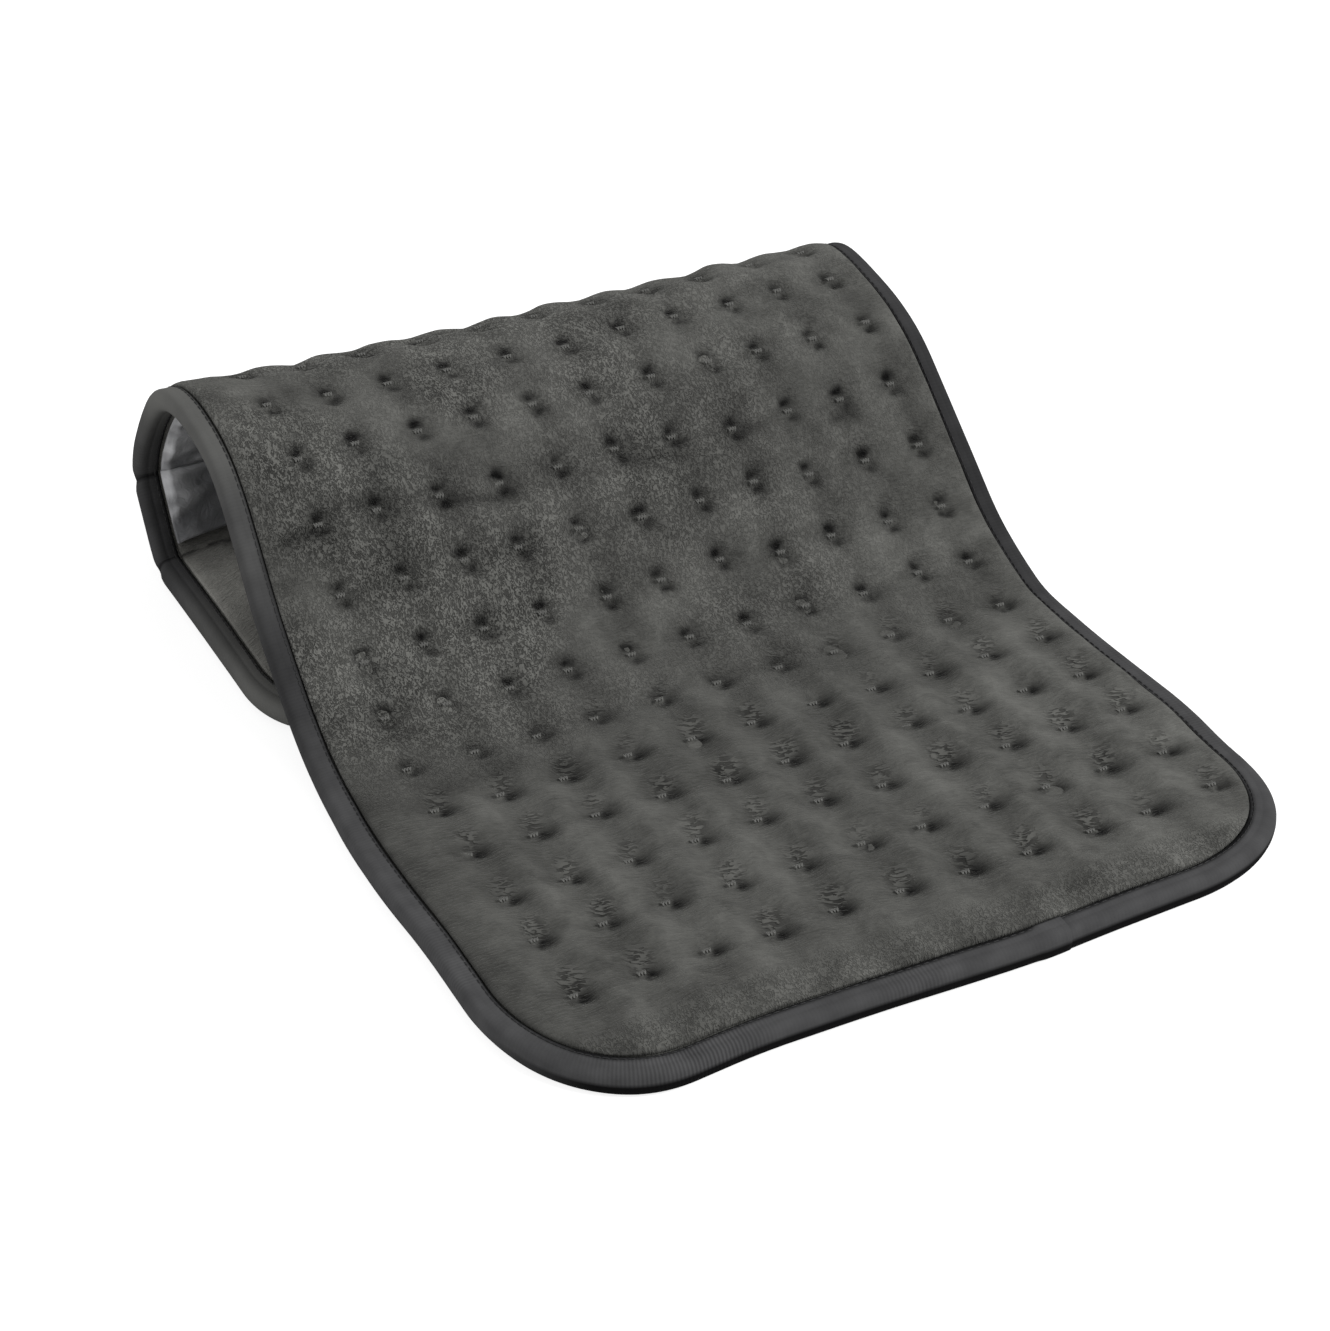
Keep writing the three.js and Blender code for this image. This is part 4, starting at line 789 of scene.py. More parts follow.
def needled(name, colour, shade, fibre):
    """Needled fibre: matted hairs of two tones, with the dimples of the needles."""
    material, tree, shader = new_material(name, Roughness=1.0, Sheen_Weight=0.1)
    where = add_node(tree, "ShaderNodeAttribute", attribute_name="flat").outputs["Vector"]
    hair = add_node(tree, "ShaderNodeTexNoise", {
        "Vector": where, "Scale": 1 / fibre, "Detail": 5.0, "Distortion": 2.0,
    }).outputs[0]
    tone = add_node(tree, "ShaderNodeMix", {0: hair, 6: linear(colour), 7: linear(shade)}, data_type="RGBA")
    colour_and_relief(tree, shader, tone.outputs[2], hair, 0.8, 0.3)
    return material


core_materials = {
    "wadding": needled("needled_polyester_wadding", "#e4e2dc", "#c9c6bd", 1.5),
    "felt": needled("pressed_felt", "#c9c3b4", "#a9a394", 0.8),
}
core_edge = ring(outline(CORE_SPACING), CORE_INSET)
core_inside = np.concatenate([
    scattered(CORE_SPACING, CORE_INSET + CORE_SPACING / 2, CORE_TUFT_CLEAR),
    round_tufts(CORE_CIRCLES, CORE_INSET + CORE_SPACING / 2),
])
for name, (bottom, top, slot) in SHEETS.items():
    flat, faces = two_faced(core_edge, core_inside, core_inside)
    x, s = flat[:, 0], flat[:, 1]
    pinch = CORE_PINCH_SHARE * tufting(x, s)[0] / PINCH_DEPTH
    number = np.arange(len(flat))
    on_edge = number < len(core_edge)
    on_top = (number >= len(core_edge)) & (number < len(core_edge) + len(core_inside))
    height = np.where(on_top, top - np.minimum(pinch, MOST_PINCHED_SHARE * (top - bottom)), bottom)
    height = np.where(on_edge, (top + bottom) / 2, height)
    sheet = mesh_piece(f"{name}_sheet", bend(x, s, height), faces, flat=np.stack([x, s, height], axis=-1))
    sheet.data.materials.append(core_materials[slot])
    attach(sheet, "pad")
    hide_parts(name)

# Lining
# A thinner, shorter plush that closes the pad below, caught in the same tacks, so it dimples less.
# It lies flat on the floor in front, and shows inside the arch.
LINING_CUT = [2.7, 3.6, 7.0, 9.2, 10.2, 11.2, 13.0]
LINING_INSET = [2.7, 3.6, 7.0, 9.5, 9.5, 10.3, 13.0]
LINING_HEIGHT = [-3.0, -3.4, -3.4, -3.45, -4.1, -4.55, -4.7]
LINING_TOP = -2.7
LINING_FACE_FROM = 3.5
LINING_SPACING = 3.6
LINING_CLEAR, LINING_CIRCLES_CLEAR = 1.5, 1
LINING_PINCH_SHARE = 0.42
LINING_CIRCLES = [(0.9, 6), (1.9, 10), (3.1, 12), (4.6, 12)]
LINING_TUFT_CLEAR = 5.6
LINING_WAVES = [(30, 0.3), (9, 0.16)]
# How much of the tacks' darkness the lining takes: their crush and painted shade
LINING_CRUSH_SHADE = 0.6
# On the left the lining is creased where it is folded back, with painted shade in the crease, and painted
# shade beside the fold and behind
FOLD_CREASE = 464
FOLD_CREASE_HALF = 2.0
FOLD_CREASE_SHADE = 0.9
LINING_SHADE = ([440, 470, 480, 506, 520, 530], [0.4, 0.4, 0, 0, 0.35, 0.4])
LINING_LEFT_FROM, LINING_LEFT_TO = -60, -90

places = outline(LINING_SPACING)
margin = [ring(places, cut) for cut in LINING_CUT]
lower = np.concatenate([
    *margin[1:],
    scattered(LINING_SPACING, LINING_CUT[-1] + LINING_CLEAR, LINING_TUFT_CLEAR),
    round_tufts(LINING_CIRCLES, LINING_CUT[-1] + LINING_CIRCLES_CLEAR),
])
inner = scattered(UNDERSIDE_SPACING, LINING_CUT[0] + underside_clear, 0)
flat, faces = two_faced(margin[0], inner, lower)
is_lower = np.arange(len(flat)) >= len(margin[0]) + len(inner)
moved, height = rolled(flat, LINING_CUT, LINING_INSET, LINING_HEIGHT)
x, s = moved[:, 0], moved[:, 1]
drop, crushed = tufting(x, s)
on_face = ramp(-height, LINING_FACE_FROM, LINING_FACE)
wave = sum(rise * ripple(x, s, size, seed) for seed, (size, rise) in enumerate(LINING_WAVES, 21))
height = height + on_face * (LINING_PINCH_SHARE * drop + np.maximum(wave, 0))
height = np.where(is_lower, height, LINING_TOP)
height[: len(margin[0])] = LINING_HEIGHT[0]
on_left = ramp(x, LINING_LEFT_FROM, LINING_LEFT_TO)
# Painted shade in the crease of the fold
fold_crease_shade = FOLD_CREASE_SHADE * bell(s - FOLD_CREASE, FOLD_CREASE_HALF) * on_left
lining = mesh_piece(
    "lining_face", bend(x, s, height), faces, flat=np.stack([x, s, height], axis=-1),
    crushed=np.clip(LINING_CRUSH_SHADE * crushed + fold_crease_shade, 0, 1) * is_lower,
    shade=eased(s, LINING_SHADE) * on_left,
)
lining.data.materials.append(
    plush("short_polyester_plush", linear("#63625f"), linear("#b0afa9"), PLUSH_CRUSH_AND_SHADE)
)
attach(lining, "pad")
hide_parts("lining")

# Edge tape
# A ribbed polyester tape, folded in half over the raw edges and sewn on through all layers.
# It is led round the pad once, and its end laps over its start on the near edge.
TAPE_SPACING = 1.9
TAPE_REACH = 8.6
# The upper half of its section, outside and inside, by how far in from the pad's edge and how high
TAPE_OUTSIDE = [
    (TAPE_REACH, 3.8), (8.55, 4.4), (7.6, 4.55), (6.1, 4.6), (4.9, 4.52), (4.5, 4.4), (4.1, 4.5), (3.0, 4.5),
    (2.0, 4.25), (1.15, 3.65), (0.5, 2.75), (0.12, 1.5),
]
TAPE_INSIDE = [(TAPE_REACH, 3.7), (5.4, 3.7), (2.6, 3.6), (1.2, 2.6), (0.8, 1.2)]
TAPE_LAP_X = 35
TAPE_LAP = 9
TAPE_LAP_RISE = 0.8
TAPE_LAP_STEP = 3
TAPE_WANDER, TAPE_WANDER_SIZE = 0.35, 24
TAPE_UNEVEN_SHARE, TAPE_UNEVEN_SIZE = 0.02, 15
# Two notches where the tape is kinked with the rear leg, on the left side, with painted shade in them
NOTCHES = (425, 462)
NOTCH_HALF = 2.4
NOTCH_DEPTH = 1.0
NOTCH_SHADE = 0.9
# Painted shade along the tape, more on the right, and painted light that makes it paler on the left
TAPE_DARKER = ([20, 60, 150, 200, 225, 245, 262], [0.14, 0.04, 0.04, 0.35, 0.52, 0.5, 0.33])
RIGHT_TAPE_DARKER = ([60, 115, 145, 175, 220, 255, 305, 345], [0.1, 0.2, 0, 0.4, 0.64, 0.64, 0.55, 0.27])
TAPE_PAINTED_LIGHT = (
    [240, 278, 300, 316, 340, 372, 400, 430, 475, 500, 525, 545],
    [0, 0.12, 0.09, 0.34, 0.31, 0.6, 0.12, 0, 0, 0.2, 0.23, 0.42],
)
SIDE_FROM, SIDE_TO = 105, 135
# The tape's hem carries painted shade of the pile, and the foot of the near edge painted shade of its own.
# A way out of -1 points straight nearer, and of 0 straight to a side.
HEM_INSET, NEAR_HEM_INSET = 7.5, 7.1
NEAR_EDGE_WAY = -0.7
HEM_FADE = 0.6
HEM_DARK = 0.9
FOOT_HEIGHT = 0.4
FOOT_WAY_FROM, FOOT_WAY_TO = -0.1875, -0.8125
# Its ribs show most round the near left corner and in the middle of the near edge, and less along the sides
RIBBED_CORNER, RIBBED_CORNER_HALF, RIBBED_CORNER_SHARE = -96, 30, 0.6
RIBBED_MIDDLE, RIBBED_MIDDLE_HALF, RIBBED_MIDDLE_SHARE = -10, 14, 0.4
RIBBED_SIDES_FROM, RIBBED_SIDES_SHARE = 60, 0.25
LEAST_RIBBED, RIBBED_FAR_SHARE = 0.05, 0.5
RIB_PATCH, RIB_PATCH_MIDDLE, RIB_PATCH_SWING = 22, 0.8, 0.4


def round_edge(places, start_x):
    """The places turned so that they start where x comes to the given place on the near edge."""
    edge = ring(places, 0)
    start = np.argmin(np.hypot(edge[:, 0] - start_x, edge[:, 1]))
    return np.roll(places, -start, axis=0)


def mirrored_section(outside, inside):
    """A closed section from the half above the middle surface."""
    outer = outside + [(0, 0)] + [(d, -h) for d, h in outside[::-1]]
    inner = [(d, -h) for d, h in inside] + inside[::-1]
    return np.array(outer + inner)


def tube_faces(stations, around, first=0):
    """The faces of a capped tube whose points are numbered ring by ring, from the given number on.

    They look outwards where the rings go round against the way along the tube."""
    faces = []
    for a in range(first, first + (stations - 1) * around, around):
        for i in range(around):
            j = (i + 1) % around
            faces.append([a + i, a + around + i, a + around + j, a + j])
    last = first + (stations - 1) * around
    faces.append([first + i for i in range(around)])
    faces.append([last + i for i in reversed(range(around))])
    return faces


places = round_edge(outline(TAPE_SPACING), TAPE_LAP_X)
places = np.concatenate([places, places[: round(TAPE_LAP / TAPE_SPACING) + 1]])
out_x, out_s = places[:, 2, None], places[:, 3, None]
edge = ring(places, 0)
edge_x, edge_s = edge[:, 0, None], edge[:, 1, None]
run = np.concatenate([[0], np.cumsum(np.hypot(*np.diff(edge, axis=0).T))])[:, None]
section = mirrored_section(TAPE_OUTSIDE, TAPE_INSIDE)
section_inset, section_height = section[None, :, 0], section[None, :, 1]
lap_start = run[-1] - TAPE_LAP
over = ramp(run, lap_start - TAPE_LAP_STEP, lap_start)
wander = TAPE_WANDER * ripple(run, 0 * run, TAPE_WANDER_SIZE, seed=31)
inset = section_inset * (1 + wander / TAPE_REACH) - over * TAPE_LAP_RISE / 2
lift = 1 + over * TAPE_LAP_RISE / TAPE_FACE
h = section_height * np.where(section_height > 0, lift, 1)
h = h * (1 + TAPE_UNEVEN_SHARE * ripple(run, 0 * run, TAPE_UNEVEN_SIZE, seed=32))
notch = sum(bell(edge_s - at, NOTCH_HALF) for at in NOTCHES) * (edge_x < 0)
inset = inset + NOTCH_DEPTH * notch * ramp(inset, TAPE_REACH, 0)
x, s = edge_x - out_x * inset, edge_s - out_s * inset
# Painted shade: at the foot of the near edge, along the hem, along the tape and in the notches
foot = ramp(h, FOOT_HEIGHT, 0) * ramp(out_s, FOOT_WAY_FROM, FOOT_WAY_TO)
hem_from = np.where(out_s < NEAR_EDGE_WAY, NEAR_HEM_INSET, HEM_INSET)
hem = np.minimum(ramp(inset, hem_from, hem_from + HEM_FADE), HEM_DARK)
darker = np.maximum(eased(s, TAPE_DARKER), eased(s, RIGHT_TAPE_DARKER) * ramp(x, SIDE_FROM, SIDE_TO))
shade = np.max(np.broadcast_arrays(foot, darker, hem, NOTCH_SHADE * notch), axis=0)
# Painted light, paler, on the left side of the tape
rubbed = eased(s, TAPE_PAINTED_LIGHT) * ramp(x, -SIDE_FROM, -SIDE_TO)
ribbed = RIBBED_CORNER_SHARE * np.exp(-(((x - RIBBED_CORNER) / RIBBED_CORNER_HALF) ** 4))
ribbed += RIBBED_MIDDLE_SHARE * bell(x - RIBBED_MIDDLE, RIBBED_MIDDLE_HALF)
ribbed += RIBBED_SIDES_SHARE * (s > RIBBED_SIDES_FROM)
rib_patches = RIB_PATCH_MIDDLE + RIB_PATCH_SWING * ripple(x, s, RIB_PATCH, seed=33)
ribbed *= np.clip(RIBBED_SIDES_FROM / (s + 1), RIBBED_FAR_SHARE, 1) * rib_patches
stations, around = x.shape
across = np.concatenate([[0], np.cumsum(np.hypot(*np.diff(section, axis=0).T))])
tape_run, tape_across = np.repeat(run, around), np.tile(across, stations)
faces = [face[::-1] for face in tube_faces(stations, around)]
tape = mesh_piece(
    "edge_tape", bend(x.ravel(), s.ravel(), h.ravel()), faces,
    flat=np.stack([tape_run, tape_across, 0 * tape_run], axis=-1),
    shade=shade.ravel(), rubbed=rubbed.ravel(), ribbed=np.clip(ribbed, LEAST_RIBBED, 1).ravel(),
)

# Grosgrain: fine matt ribs across the tape, 1.4 mm apart, of a slightly bluish black-grey yarn. Painted light
# makes stretches paler, painted shade others darker, and the tape has gone a little uneven in patches of
# about a centimetre.
RIB = 1.4
YARNS_PER_MM = 2.2
WORN_PATCHES_PER_MM = 0.09
# The length of one wave of Blender's wave texture at a scale of 1
ONE_WAVE = 2 * math.pi / 20

material, tree, shader = new_material("woven_grosgrain_tape", Roughness=0.85, Specular_IOR_Level=0.12)
where = add_node(tree, "ShaderNodeAttribute", attribute_name="flat").outputs["Vector"]
ribbed, rubbed, shade = (
    add_node(tree, "ShaderNodeAttribute", attribute_name=label).outputs["Fac"]
    for label in ("ribbed", "rubbed", "shade")
)
ribs = add_node(tree, "ShaderNodeTexWave", {
    "Vector": where, "Scale": ONE_WAVE / RIB, "Distortion": 0.6, "Detail": 1.0, "Detail Scale": 2.0,
}, wave_type="BANDS", bands_direction="X", wave_profile="SIN").outputs["Fac"]
yarn = add_node(tree, "ShaderNodeTexNoise", {"Vector": where, "Scale": YARNS_PER_MM, "Detail": 3.0})
worn = add_node(tree, "ShaderNodeTexNoise", {"Vector": where, "Scale": WORN_PATCHES_PER_MM, "Detail": 3.0})
level = add_node(tree, "ShaderNodeMix", {0: ribbed, 2: 0.5, 3: ribs}).outputs[0]
tone = -0.05
for layer in (level, worn.outputs[0]):
    tone = add_node(tree, "ShaderNodeMath", {0: layer, 1: 0.6, 2: tone}, operation="MULTIPLY_ADD").outputs[0]
colour = linear("#202021")
# Its tone, then painted light, then painted shade
for share, code in ((tone, "#616162"), (rubbed, "#9a9a95"), (shade, "#060607")):
    colour = add_node(tree, "ShaderNodeMix", {
        0: share, 6: colour, 7: linear(code),
    }, data_type="RGBA").outputs[2]
height = add_node(tree, "ShaderNodeMath", {0: yarn.outputs[0], 1: 0.3, 2: level}, operation="MULTIPLY_ADD")
colour_and_relief(tree, shader, colour, height.outputs[0], 0.6, 0.25)
tape.data.materials.append(material)
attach(tape, "pad")
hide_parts("edge_binding")

# Thread
# Polyester thread: a bar tack of crossing stitches in each tuft, on both faces, and the seam of the tape.
# The tacks are sewn in a grey that shows as a pale nub in the crushed pile, and the seam in black.
TACK_LOOPS = 6
TACK_PITCH = 0.55
TACK_HALF = 0.95
TACK_RISE = 0.55
TACK_RADIUS = 0.26
COVER_TACK_LIFT, LINING_TACK_LIFT = 0.15, 0.1
SEAM_INSET = 7.4
STITCH = 3.2
STITCH_SHARE = 0.86
STITCH_RADIUS = 0.24
STITCH_LIFT = 0.02
STITCH_RISE = 0.16
THREAD_SIDES = 6
THREAD_STEPS = 5
THREAD_END_SHARE = 0.55
# Which way is up at a place is read off between this far above it and this far below
UP_STEP = 1.0
# The scale of the wave texture in metres that sets the plies of the thread 0.35 mm apart
PLY_SCALE = 900.0


def threads(name, x, s, h, radius):
    """Lengths of thread or wire, each a row of flat places, as closed tubes that stay above the floor."""
    centre = bend(x, s, h)
    steps = x.shape[1]
    up = bend(x, s, h + UP_STEP) - bend(x, s, h - UP_STEP)
    side = np.cross(np.gradient(centre, axis=1), up)
    up /= np.linalg.norm(up, axis=-1, keepdims=True)
    side /= np.linalg.norm(side, axis=-1, keepdims=True)
    angle = 2 * np.pi * np.arange(THREAD_SIDES)[:, None] / THREAD_SIDES
    taper = np.ones(steps)
    taper[[0, -1]] = THREAD_END_SHARE
    offset = side[:, :, None] * np.cos(angle) + up[:, :, None] * np.sin(angle)
    points = centre[:, :, None] + offset * (radius * MM * taper)[:, None, None]
    points = points.reshape(-1, 3)
    points[:, 2] = np.maximum(points[:, 2], 0)
    faces = []
    for first in range(0, len(points), steps * THREAD_SIDES):
        faces += tube_faces(steps, THREAD_SIDES, first)
    return mesh_piece(name, points, faces)


def bar_tacks(name, floor, way):
    """One tack in each tuft: stitches to and fro over its width, side by side."""
    share = np.linspace(-1, 1, THREAD_STEPS)[None, None, :]
    loop = np.arange(TACK_LOOPS)[None, :, None]
    lean = TACK_PITCH / 2 * np.where(loop % 2, 1, -1)
    x = tuft_x.reshape(-1, 1, 1) + (loop - (TACK_LOOPS - 1) / 2) * TACK_PITCH + lean * share
    s = tuft_s.reshape(-1, 1, 1) + TACK_HALF * share
    h = floor.reshape(-1, 1, 1) + way * TACK_RISE * (1 - share**2)
    x, s, h = (value.reshape(-1, THREAD_STEPS) for value in np.broadcast_arrays(x, s, h))
    return threads(name, x, s, h, TACK_RADIUS)


def twisted(name, dark, light, roughness, sheen, groove):
    """Thread of two tones, with the groove that its twist leaves, if any."""
    material, tree, shader = new_material(name, Roughness=roughness, Sheen_Weight=sheen)
    where = add_node(tree, "ShaderNodeTexCoord").outputs["Object"]
    ply = add_node(tree, "ShaderNodeTexWave", {
        "Vector": where, "Scale": PLY_SCALE, "Distortion": 1.0,
    }, bands_direction="DIAGONAL").outputs["Fac"]
    tone = add_node(tree, "ShaderNodeMix", {0: ply, 6: linear(dark), 7: linear(light)}, data_type="RGBA")
    colour_and_relief(tree, shader, tone.outputs[2], ply, 0.5, groove)
    return material


tack_drop = tufting(tuft_x.ravel(), tuft_s.ravel())[0]
seam_places = outline(STITCH)
seam = ring(seam_places, SEAM_INSET)
share = np.linspace(-0.5, 0.5, THREAD_STEPS)
seam_x = seam[:, 0, None] - seam_places[:, 3, None] * share * STITCH * STITCH_SHARE
seam_s = seam[:, 1, None] + seam_places[:, 2, None] * share * STITCH * STITCH_SHARE
seam_h = TAPE_FACE + STITCH_LIFT + STITCH_RISE * (1 - (2 * share) ** 4) + 0 * seam_x
tacks = [
    bar_tacks("cover_tacks", CROWN - tack_drop + COVER_TACK_LIFT, 1),
    bar_tacks("lining_tacks", LINING_PINCH_SHARE * tack_drop - LINING_FACE - LINING_TACK_LIFT, -1),
]
seams = [
    threads("upper_seam", seam_x, seam_s, seam_h, STITCH_RADIUS),
    threads("lower_seam", seam_x, seam_s, -seam_h, STITCH_RADIUS),
]
for pieces, material in (
    (tacks, twisted("polyester_sewing_thread", "#424240", "#70706c", 0.5, 0.2, 0.1)),
    (seams, twisted("black_polyester_thread", "#08080a", "#1c1c1e", 0.6, 0.0, 0.0)),
):
    for piece in pieces:
        piece.data.materials.append(material)
        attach(piece, "pad")

# Heating wire
# One resistance wire in silicone: out along the right side, then to and fro between the rows of tacks.
# It is couched on the felt sheet, so it follows the pad's fold.
WIRE_DIAMETER = 1.2
WIRE_HEIGHT = 0.4
WIRE_SPACING = 3
WIRE_ARC_STEPS = 12
RETURN_LANE = 17
LANE_BEND = 10
TAIL_FROM_FAR_EDGE = 47
CRIMP_END = 33.8

lane = PAD_WIDTH / 2 - RETURN_LANE
tail = PAD_LENGTH - TAIL_FROM_FAR_EDGE
turn_radius = row_pitch / 2
first_run = NEAR_MARGIN + turn_radius
last_run = first_run + (TUFT_ROWS - 2) * row_pitch
tail_radius = (tail - last_run) / 2
left_apex = first_column + column_pitch / 2
right_apex = PAD_WIDTH / 2 - RIGHT_MARGIN - column_pitch / 2


def wire_arc(x, s, radius, start, turn):
    """Places along a bend of the wire, from an angle and through a turn."""
    angles = [start + turn * k / WIRE_ARC_STEPS for k in range(WIRE_ARC_STEPS + 1)]
    return [(x + radius * math.cos(angle), s + radius * math.sin(angle)) for angle in angles]


route = [(CRIMP_END, tail)]
route += wire_arc(lane - LANE_BEND, tail - LANE_BEND, LANE_BEND, math.pi / 2, -math.pi / 2)
route += wire_arc(lane - LANE_BEND, first_run + LANE_BEND, LANE_BEND, 0, -math.pi / 2)
for run in range(TUFT_ROWS - 2):
    goes_left = run % 2 == 0
    centre = left_apex + turn_radius if goes_left else right_apex - turn_radius
    s = first_run + turn_radius + run * row_pitch
    route += wire_arc(centre, s, turn_radius, -math.pi / 2, -math.pi if goes_left else math.pi)
route += wire_arc(left_apex + tail_radius, last_run + tail_radius, tail_radius, -math.pi / 2, -math.pi)
route = np.array([*route, (-CRIMP_END, tail)])
run = np.concatenate([[0], np.cumsum(np.hypot(*np.diff(route, axis=0).T))])
steps = np.linspace(0, run[-1], round(run[-1] / WIRE_SPACING))
x, s = (np.interp(steps, run, route[:, k])[None, :] for k in (0, 1))
wire = threads("silicone_wire", x, s, 0 * x + WIRE_HEIGHT, WIRE_DIAMETER / 2)
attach(wire, "pad")
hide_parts("heating_wire")

# Care label
# A piece of grey polyester satin, sewn to the lining with its edge under the tape. It is bare.
# The lining is creased where the pad turns over, so the label puckers and its smooth weave shines.
LABEL_WIDTH = 58
# It lies between these places in the rows of tacks, counted from the near edge
LABEL_ROWS = (12.5, 15.5)
LABEL_LEFT = 9.4
LABEL_THICKNESS = 0.25
LABEL_STEPS_X = 60
LABEL_STEPS_S = 70
LABEL_GAP = 0.35
# How far the label stands off the lining: a little everywhere, in puckers beside the tape and in waves
LOOSE_RISE, PUCKER_RISE, WAVE_RISE = 2.2, 1.4, 0.9
PUCKER_SIZE, WAVE_SIZE, FINER_WAVE_SIZE = 8, 15, 5
# The puckers are drawn out across the label, and the waves are closer along it, by these shares
PUCKER_SHARE, WAVE_SHARE, FINER_WAVE_SHARE = 0.35, 1.4, 1.5
FINER_WAVE_RISE_SHARE = 0.6
PUCKER_FADE = 24
# It rises from the tape over a share of its width, and towards its hems it drops only as low as it is at
# these shares of its length
HELD_WIDTH_SHARE = 0.05
LEAST_LOOSE = 0.1
HEM_SHARES = (0.04, 0.94)
HEM_POWER = 0.4
# Painted shade: more away from the tape and towards its far end, and less on its puckers and waves, whose
# tops carry painted highlights
LABEL_SHADE = 0.15
SHADE_ACROSS, SHADE_ALONG = 1.5, 0.6
PUCKER_SHINE, WAVE_SHINE = 0.3, 0.35
DARKEST_LABEL = 0.85

u, v = np.meshgrid(np.linspace(0, 1, LABEL_STEPS_X), np.linspace(0, 1, LABEL_STEPS_S))
label_from, label_to = (NEAR_MARGIN + row_pitch * row for row in LABEL_ROWS)
x = LABEL_LEFT - PAD_WIDTH / 2 + LABEL_WIDTH * u
s = label_from + (label_to - label_from) * v
pucker = 1 - 2 * np.abs(ripple(PUCKER_SHARE * x, s, PUCKER_SIZE, seed=41))
pucker *= np.exp(-LABEL_WIDTH * u / PUCKER_FADE)
wave = 1 - 2 * np.abs(ripple(x, WAVE_SHARE * s, WAVE_SIZE, seed=42))
wave += FINER_WAVE_RISE_SHARE * ripple(x, FINER_WAVE_SHARE * s, FINER_WAVE_SIZE, seed=43)
loose = np.clip(u / HELD_WIDTH_SHARE, LEAST_LOOSE, 1)
loose *= np.sin(np.pi * np.clip(v, *HEM_SHARES)) ** HEM_POWER
h = -(LINING_FACE + LABEL_GAP + loose * (LOOSE_RISE + PUCKER_RISE * pucker + WAVE_RISE * wave))
# Painted shade and highlights, by place on the label
shade = LABEL_SHADE + SHADE_ACROSS * u - PUCKER_SHINE * pucker - WAVE_SHINE * wave + SHADE_ALONG * v
faces = []
for first in range(0, (LABEL_STEPS_S - 1) * LABEL_STEPS_X, LABEL_STEPS_X):
    for a in range(first, first + LABEL_STEPS_X - 1):
        faces.append([a, a + 1, a + LABEL_STEPS_X + 1, a + LABEL_STEPS_X])
label = mesh_piece(
    "satin_label", bend(x.ravel(), s.ravel(), h.ravel()), faces,
    flat=np.stack([x.ravel(), s.ravel(), 0 * x.ravel()], axis=-1),
    shade=np.clip(shade, 0, DARKEST_LABEL).ravel(),
)
thickness = label.modifiers.new("thickness", "SOLIDIFY")
thickness.thickness = LABEL_THICKNESS * MM
thickness.offset = 1

# Satin: long smooth floats 0.4 mm apart give it a shine across the label. It is a little soiled, and creased.
# The wave texture sets them that far apart at this scale.
FLOAT_SCALE = 0.8
SOILED_PATCHES_PER_MM = 0.12
CREASES_PER_MM = 0.22

material, tree, shader = new_material(
    "polyester_satin", Roughness=0.34, Specular_IOR_Level=0.6, Anisotropic=0.5
)
where = add_node(tree, "ShaderNodeAttribute", attribute_name="flat").outputs["Vector"]
shade = add_node(tree, "ShaderNodeAttribute", attribute_name="shade").outputs["Fac"]
floats = add_node(tree, "ShaderNodeTexWave", {
    "Vector": where, "Scale": FLOAT_SCALE, "Distortion": 0.5,
}, bands_direction="Y").outputs["Fac"]
soiled = add_node(tree, "ShaderNodeTexNoise", {
    "Vector": where, "Scale": SOILED_PATCHES_PER_MM, "Detail": 3.0,
}).outputs[0]
creased = add_node(tree, "ShaderNodeTexNoise", {
    "Vector": where, "Scale": CREASES_PER_MM, "Detail": 2.0, "Distortion": 1.5,
}).outputs[0]
# Its grey, with soiled patches, then painted shade towards a darker grey
colour = linear("#c6c7c9")
for share, code in ((soiled, "#e2e2e4"), (shade, "#505154")):
    colour = add_node(tree, "ShaderNodeMix", {
        0: share, 6: colour, 7: linear(code),
    }, data_type="RGBA").outputs[2]
height = add_node(tree, "ShaderNodeMath", {0: creased, 1: 6.0, 2: floats}, operation="MULTIPLY_ADD")
colour_and_relief(tree, shader, colour, height.outputs[0], 0.8, 0.1)
label.data.materials.append(material)
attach(label, "pad")
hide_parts("care_label")

# Moulded and metal pieces
# What the pad holds inside and the inlet that its cord plugs into: moulded nylon shells and button,
# insulated leads, sleeved cut-outs and sensor, brass pins, steel screws and a fibreglass board.


def moulded(name, colour, shade, grain, roughness, depth, metallic=0.0):
    """A finish with an even grain of two close tones, and the same grain as fine relief."""
    material, tree, shader = new_material(name, Roughness=roughness, Metallic=metallic)
    where = add_node(tree, "ShaderNodeTexCoord").outputs["Object"]
    noise = add_node(tree, "ShaderNodeTexNoise", {
        "Vector": where, "Scale": 1 / (grain * MM), "Detail": 3.0,
    }).outputs[0]
    tone = add_node(tree, "ShaderNodeMix", {0: noise, 6: linear(colour), 7: linear(shade)}, data_type="RGBA")
    colour_and_relief(tree, shader, tone.outputs[2], noise, 0.4, depth)
    return material


